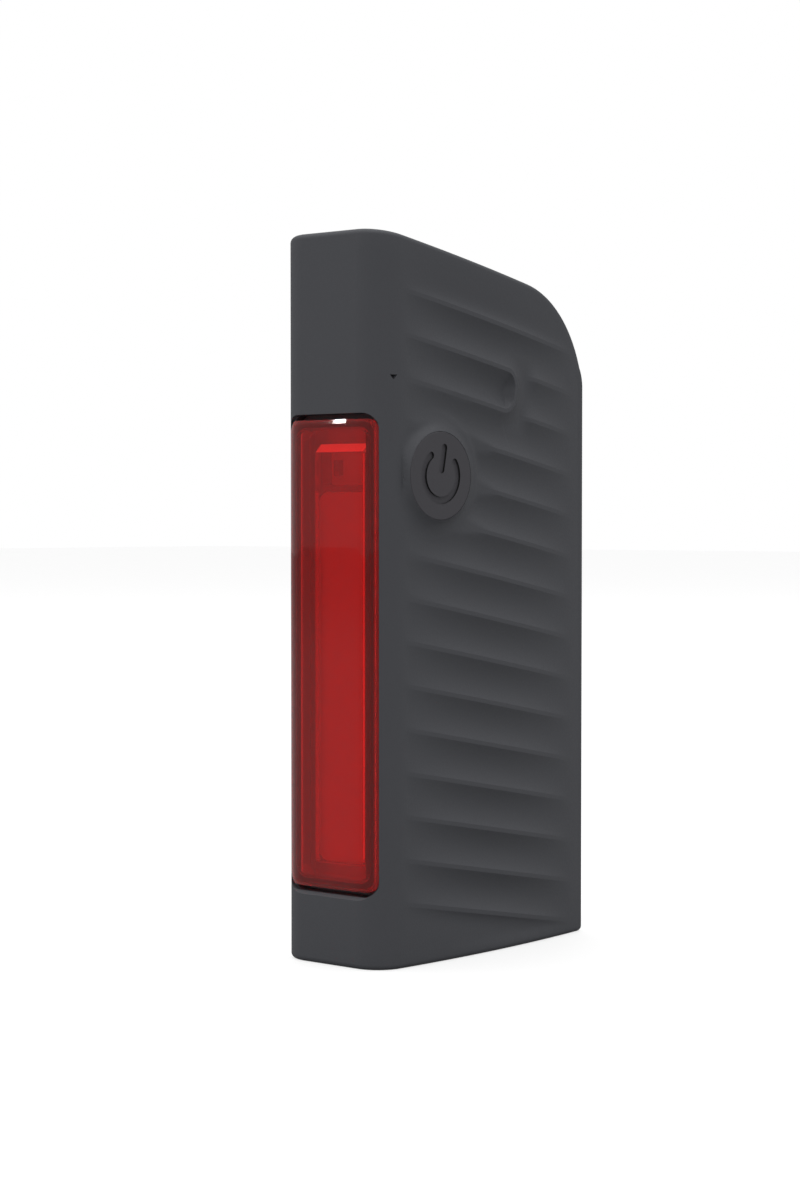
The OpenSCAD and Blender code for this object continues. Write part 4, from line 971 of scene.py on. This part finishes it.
# Cover screws, one shape copied to the four places by a geometry tree
def copies_tree():
    """Geometry tree that puts a turned copy of a shape on each point and gives the whole a finish."""
    tree, given, result = geometry_tree("turned_copies", [
        ("Shape", "NodeSocketObject"), ("Axis", "NodeSocketVector"), ("Seed", "NodeSocketInt"),
        ("Finish", "NodeSocketMaterial")])
    shape = add(tree, "GeometryNodeObjectInfo", None, Object=given.outputs["Shape"])
    angle = add(tree, "FunctionNodeRandomValue", {"data_type": "FLOAT"}, Seed=given.outputs["Seed"])
    angle.inputs[3].default_value = 2 * math.pi
    turn = add(tree, "FunctionNodeAxisAngleToRotation", None, Axis=given.outputs["Axis"], Angle=angle.outputs[1])
    copies = add(tree, "GeometryNodeInstanceOnPoints", None, Points=given.outputs["Geometry"],
                 Instance=shape.outputs["Geometry"], Rotation=turn)
    whole = add(tree, "GeometryNodeRealizeInstances", None, Geometry=copies)
    finished = add(tree, "GeometryNodeSetMaterial", None, Geometry=whole, Material=given.outputs["Finish"])
    tree.links.new(finished.outputs[0], result.inputs[0])
    return tree


def screw_shape():
    """One cover screw that points to the front from under its head, which is domed and has a hexagon socket."""
    turn = Matrix(((1, 0, 0, 0), (0, 0, 1, 0), (0, 1, 0, 0), (0, 0, 0, 1)))
    dome = [(SCREW_HEAD - SCREW_DOME * (1 - math.sin(t)), SCREW_HEAD_HIGH - SCREW_DOME * (1 - math.cos(t)))
            for t in np.linspace(0, math.pi / 2, 8)]
    shape = lathe("screw", dome + [(SCREW_HEAD, 0), (SCREW_RADIUS, 0), (SCREW_RADIUS, -SCREW_LONG)], turn, 64)
    combine(shape, prism("socket", circle(SCREW_RADIUS, 6), turn, SCREW_HEAD_HIGH / 2, 2), "DIFFERENCE")
    return shade(shape, 30)


# Finishes
def surface(name, colour, other, rough, patch, grain, lift, stretch=(1, 1, 1), pattern="ShaderNodeTexNoise",
            **sockets):
    """Material whose colour drifts between two hex values over patches, and whose grain roughens it."""
    material = bpy.data.materials.new(name)
    material.use_nodes = True
    tree = material.node_tree
    shader = tree.nodes["Principled BSDF"]
    for key, value in sockets.items():
        shader.inputs[key.replace("_", " ")].default_value = value
    place = add(tree, "ShaderNodeTexCoord").outputs["Object"]
    drift = add(tree, "ShaderNodeTexNoise", None, Vector=place, Scale=1 / (patch * MM), Detail=3.0)
    mixed = add(tree, "ShaderNodeMix", {"data_type": "RGBA"}, Factor=drift.outputs["Fac"])
    mixed.inputs[6].default_value = linear(colour)
    mixed.inputs[7].default_value = linear(other)
    tree.links.new(mixed.outputs[2], shader.inputs["Base Color"])
    turned = add(tree, "ShaderNodeMapping", None, Vector=place, Scale=stretch)
    fine = add(tree, pattern, None, Vector=turned, Scale=1 / (grain * MM))
    value = fine.outputs["Distance"] if pattern == "ShaderNodeTexVoronoi" else fine.outputs["Fac"]
    spread = add(tree, "ShaderNodeMapRange", None, Value=value, To_Min=0.8 * rough, To_Max=1.2 * rough)
    tree.links.new(spread.outputs[0], shader.inputs["Roughness"])
    if lift:
        bump = add(tree, "ShaderNodeBump", None, Strength=lift, Distance=grain * MM, Height=value)
        tree.links.new(bump.outputs[0], shader.inputs["Normal"])
    return material


# Polycarbonate moulded in a spark-eroded tool: dark grey, dull, with a fine even grit drawn twice as coarse to show
body_plastic = surface("spark_textured_polycarbonate", "#444549", "#424347", 0.6, 14, 0.22, 0.05,
                       Specular_IOR_Level=0.25)
# The same plastic from a finer tool, so the button's face looks a little closer and smoother
button_plastic = surface("fine_textured_polycarbonate", "#414044", "#3F3E42", 0.55, 6, 0.14, 0.03,
                         Specular_IOR_Level=0.25)
# Walls of the sunk symbol painted nearly black: painted shade for the shadow in its narrow grooves
symbol_wall_painted_shade = surface("laser_burnt_polycarbonate", "#0B0B0C", "#101012", 0.7, 2, 0.1, 0.05)
# Polished red polycarbonate: clear with a slight haze, so that its edges look deep red and not black
red_lens = surface("polished_red_polycarbonate", "#FF322E", "#FC302C", 0.02, 20, 1.5, 0, Transmission_Weight=0.9,
                   IOR=1.58, Specular_Tint=(0.55, 0.55, 0.55, 1))
# Dark print on the sides of the room behind the lens: hides the seat, so that the lens's round sides look deep
dark_print = surface("dark_print", "#1C1718", "#171314", 0.6, 4, 0.2, 0.03)
# Clear acrylic of the light guide, polished all round
clear_acrylic = surface("polished_acrylic", "#F6F7F7", "#F2F4F4", 0.02, 20, 1.5, 0, Transmission_Weight=1.0,
                        IOR=1.49)
# Etched bevel of the guide with a painted glow: its emission stands in for light the whole block would gather and let
# out here
etched_acrylic = surface("etched_acrylic", "#F7F7F5", "#EFEFEC", 0.6, 4, 0.2, 0.08, Emission_Color=linear("#FFFFFF"),
                         Emission_Strength=0.35)
# Opal polycarbonate of the diffuser: soft white with a satin surface
opal_plastic = surface("opal_polycarbonate", "#EEECE8", "#E9E7E3", 0.45, 6, 0.25, 0.04)
# Grey ABS of the reflector tray, its grey darkened as painted shade for the deep room round the panel
tray_grey_and_painted_shade = surface("grey_abs", "#484644", "#434140", 0.4, 8, 0.3, 0.04)
# White nylon of the plug and the plunger
white_plastic = surface("white_nylon", "#D8D6D0", "#CFCDC7", 0.4, 8, 0.3, 0.04)
# Grey liquid silicone of the lens gasket
grey_silicone = surface("grey_silicone", "#3E3E40", "#38383A", 0.6, 5, 0.3, 0.05)
# Black thermoplastic rubber: matt, with the dusty speckle of an eroded tool
black_rubber = surface("black_soft_rubber", "#2C2C2E", "#252527", 0.68, 5, 0.18, 0.1, Specular_IOR_Level=0.35)
# Black glass-filled nylon of the inner frame and retainer
frame_plastic = surface("glass_filled_nylon", "#26272A", "#2F3033", 0.55, 3, 0.2, 0.12, (1, 1, 0.2))
# Bright zinc on the screws' steel, brushed lightly along their turning
zinc_steel = surface("zinc_plated_steel", "#C3C6C8", "#AEB1B4", 0.3, 1.5, 0.08, 0.05, (1, 12, 1), Metallic=1.0)
# Drawn stainless shell of the charging socket
drawn_steel = surface("drawn_stainless_steel", "#B9BBBD", "#A9ABAE", 0.26, 2, 0.1, 0.04, (8, 8, 0.4), Metallic=1.0)
# Turned brass of inserts and posts
brass = surface("turned_brass", "#C79B4C", "#B68837", 0.28, 1.5, 0.08, 0.04, (1, 10, 1), Metallic=1.0)
# Green laminate with the glass weave showing through its lacquer
laminate = surface("green_board_laminate", "#1F5B3B", "#194C31", 0.32, 1.2, 0.5, 0.1, (1, 1, 1),
                   "ShaderNodeTexVoronoi")
# White lacquered laminate of the lamp board
white_laminate = surface("white_board_laminate", "#DCDAD4", "#D2D0CA", 0.35, 1.5, 0.5, 0.06, (1, 1, 1),
                         "ShaderNodeTexVoronoi")
# Black moulding resin of the chips
chip_resin = surface("chip_resin", "#26282B", "#2E3033", 0.5, 1, 0.1, 0.1)
# Yellow-white resin over the lamps' dies
lamp_resin = surface("phosphor_resin", "#F2E7B4", "#F6EFC9", 0.25, 1, 0.1, 0.05)
# Amber polyimide film of the ribbon
amber_film = surface("amber_polyimide", "#C58232", "#B97528", 0.28, 2, 0.4, 0.05, (1, 1, 0.1))
# Red silicone sleeves of the battery's leads, dull and soft
lead_sleeve = surface("silicone_lead_sleeve", "#A31F1F", "#931A1A", 0.5, 2, 0.2, 0.05)
# Silver aluminium laminate of the pouch cell, slightly crinkled
cell_foil = surface("pouch_cell_foil", "#A7ABB0", "#969AA0", 0.34, 4, 2.5, 0.12, (1, 1, 1), "ShaderNodeTexVoronoi",
                    Metallic=0.8)
# Open-cell foam of the pad
pad_foam = surface("open_cell_foam", "#4C4E52", "#3F4145", 0.9, 2, 0.35, 0.5, (1, 1, 1), "ShaderNodeTexVoronoi")


def dress(piece, material, body, slot, *nodes):
    """Gives a finished piece its material and its body, and hides the nodes it stands for. The slot is not used."""
    piece.data.materials.clear()
    piece.data.materials.append(material)
    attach(piece, body)
    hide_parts(*nodes)


dress(shell, body_plastic, "light", "body_plastic", "housing")
dress(lens, red_lens, "light", "red_lens", "lens_cover")
dress(button, button_plastic, "button", "button_plastic", "power_button")
dress(cover, body_plastic, "light", "body_plastic", "rear_cover")
dress(flap, black_rubber, "flap", "black_rubber", "port_cover")
dress(guide, clear_acrylic, "light", "clear_plastic", "light_guide")
dress(panel, opal_plastic, "light", "white_plastic", "diffuser")
# The reflector tray's darker grey is partly painted shade
dress(tray, tray_grey_and_painted_shade, "light", "white_plastic", "reflector")
dress(socket, drawn_steel, "light", "steel", "usb_socket")

shape = screw_shape()
screws = new_piece("hexagon_screws", [(x, deep(DEPTH - SCREW_HEAD_HIGH - FREE), z) for x, z in screw_places], [])
run_tree(screws, copies_tree(), {"Shape": shape, "Axis": (0.0, 1.0, 0.0), "Seed": 7, "Finish": zinc_steel})
discard(shape)
dress(screws, zinc_steel, "light", "steel", "cover_screws")

# The symbol's walls get painted shade, the sides of the lens's room dark print and the guide's bevel a painted glow
# Faces upright to the button's face, inside the symbol's depth, take the painted shade
button.data.materials.append(symbol_wall_painted_shade)
outward = BUTTON.to_3x3() @ Vector((0, 0, 1))
for face in button.data.polygons:
    spot = BUTTON.inverted() @ (Vector(face.center) / MM)
    if abs(face.normal @ outward) < 0.2 and spot.z > BUTTON_LIFT - SYMBOL_SUNK and spot.to_2d().length < 4:
        face.material_index = 1
lens.data.materials.append(dark_print)
for face in lens.data.polygons:
    x, y = abs(face.center.x) / MM, face.center.y / MM
    wall = abs(face.normal.x) > 0.9 and abs(x - COLLAR_HALF + COLLAR_WALL) < 0.02
    bend = abs(math.hypot(x - front_corner[0], y - front_corner[1]) - ROOM_BEND) < 0.02
    if wall or (bend and x > PRINT_FROM):
        face.material_index = 1
# The guide's upper front bevel takes the painted glow
guide.data.materials.append(etched_acrylic)
for face in guide.data.polygons:
    if face.normal.y < -0.5 and face.normal.z > 0.5 and face.area > 1e-6:
        face.material_index = 1

# Nodes that keep their own solids
kept = {"rear_gasket": black_rubber, "screw_inserts": brass, "lens_gasket": grey_silicone,
        "led_board": white_laminate, "leds": lamp_resin, "contact_posts": frame_plastic, "inner_frame": frame_plastic,
        "main_board": laminate, "board_chips": chip_resin, "board_screws": zinc_steel, "led_ribbon": amber_film,
        "switch_body": drawn_steel, "switch_plunger": white_plastic, "button_seal": black_rubber,
        "button_retainer": frame_plastic, "battery": cell_foil, "battery_pad": pad_foam, "battery_leads": lead_sleeve,
        "battery_plug": white_plastic, "usb_tongue": frame_plastic}
for title, material in kept.items():
    mesh = frame["nodes"][title].data
    mesh.materials.clear()
    mesh.materials.append(material)


# Studio
def lamp(name, place, aim, size, power, along=(0, 1, 0)):
    """Soft light that looks at a point, with its second side along a direction."""
    data = bpy.data.lights.new(name, "AREA")
    data.shape = "RECTANGLE"
    data.size, data.size_y = size
    data.energy = power
    light = bpy.data.objects.new(name, data)
    light.location = Vector(place)
    back = (Vector(place) - Vector(aim)).normalized()
    long = (Vector(along) - back * back.dot(Vector(along))).normalized()
    light.rotation_euler = Matrix((long.cross(back), long, back)).transposed().to_euler()
    bpy.context.scene.collection.objects.link(light)


def white_to_eye(tree, plain, strength):
    """White for what the camera and clear plastic see, and a plain shader for the light it gives."""
    path = add(tree, "ShaderNodeLightPath")
    seen = add(tree, "ShaderNodeMath", {"operation": "MAXIMUM"}, _0=path.outputs["Is Camera Ray"],
               _1=path.outputs["Is Transmission Ray"])
    white = add(tree, "ShaderNodeBackground" if plain.bl_idname == "ShaderNodeBackground" else "ShaderNodeEmission",
                None, Color=(1, 1, 1, 1), Strength=strength)
    return seen, white


WORLD_LIGHT = 0.95
MIRROR_LIGHT = 0.5
FLOOR_LIGHT = 0.66
world = bpy.data.worlds.new("studio")
bpy.context.scene.world = world
world.use_nodes = True
sky = world.node_tree
plain = sky.nodes["Background"]
plain.inputs["Color"].default_value = (1, 1, 1, 1)
plain.inputs["Strength"].default_value = WORLD_LIGHT
seen, white = white_to_eye(sky, plain, 1.0)
# Mirrors see the walls as bright as the floor, so that no horizon shows in the lens
wall = add(sky, "ShaderNodeBackground", None, Color=(1, 1, 1, 1), Strength=MIRROR_LIGHT)
mirrored = add(sky, "ShaderNodeLightPath").outputs["Is Glossy Ray"]
plain = add(sky, "ShaderNodeMixShader", None, _0=mirrored, _1=plain, _2=wall)
mixed = add(sky, "ShaderNodeMixShader", None, _0=seen, _1=plain, _2=white)
sky.links.new(mixed.outputs[0], sky.nodes["World Output"].inputs["Surface"])

FLOOR_HALF = 3000
floor = new_piece("floor", [(x * FLOOR_HALF, y * FLOOR_HALF, 0) for x, y in ((-1, -1), (1, -1), (1, 1), (-1, 1))],
                  [(0, 1, 2, 3)])
paper = bpy.data.materials.new("white_paper_floor")
paper.use_nodes = True
sheet = paper.node_tree
matt = sheet.nodes["Principled BSDF"]
matt.inputs["Base Color"].default_value = linear("#959595")
matt.inputs["Roughness"].default_value = 0.9
seen, white = white_to_eye(sheet, matt, FLOOR_LIGHT)
dim = add(sheet, "ShaderNodeMixShader", None, _0=seen, _2=white)
both = add(sheet, "ShaderNodeAddShader", None, _0=matt, _1=dim)
sheet.links.new(both.outputs[0], sheet.nodes["Material Output"].inputs["Surface"])
floor.data.materials.append(paper)

MIDDLE = (0, 0, 0.041)
lamp("overhead_softbox", (0.0, 0.0, 0.85), MIDDLE, (1.3, 1.3), 7.6)
# Narrow strip that the lens's upper chamfer mirrors as a short glint
lamp("strip_light", (-0.5976, -0.4230, 0.5966), (0.0018, -0.0189, 0.0611), (0.007, 0.6), 0.75, (0, 0.8, 0.6))

camera_data = bpy.data.cameras.new("camera")
camera_data.lens = 75.325
camera_data.sensor_width = 36.0
camera_data.clip_start = 0.01
camera = bpy.data.objects.new("camera", camera_data)
camera.location = Vector((0.188130, -0.227029, 0.050192))
camera.rotation_euler = Vector((-0.648980, 0.760105, -0.032642)).to_track_quat("-Z", "Y").to_euler()
bpy.context.scene.collection.objects.link(camera)
bpy.context.scene.camera = camera
bpy.context.scene.view_settings.view_transform = "Standard"
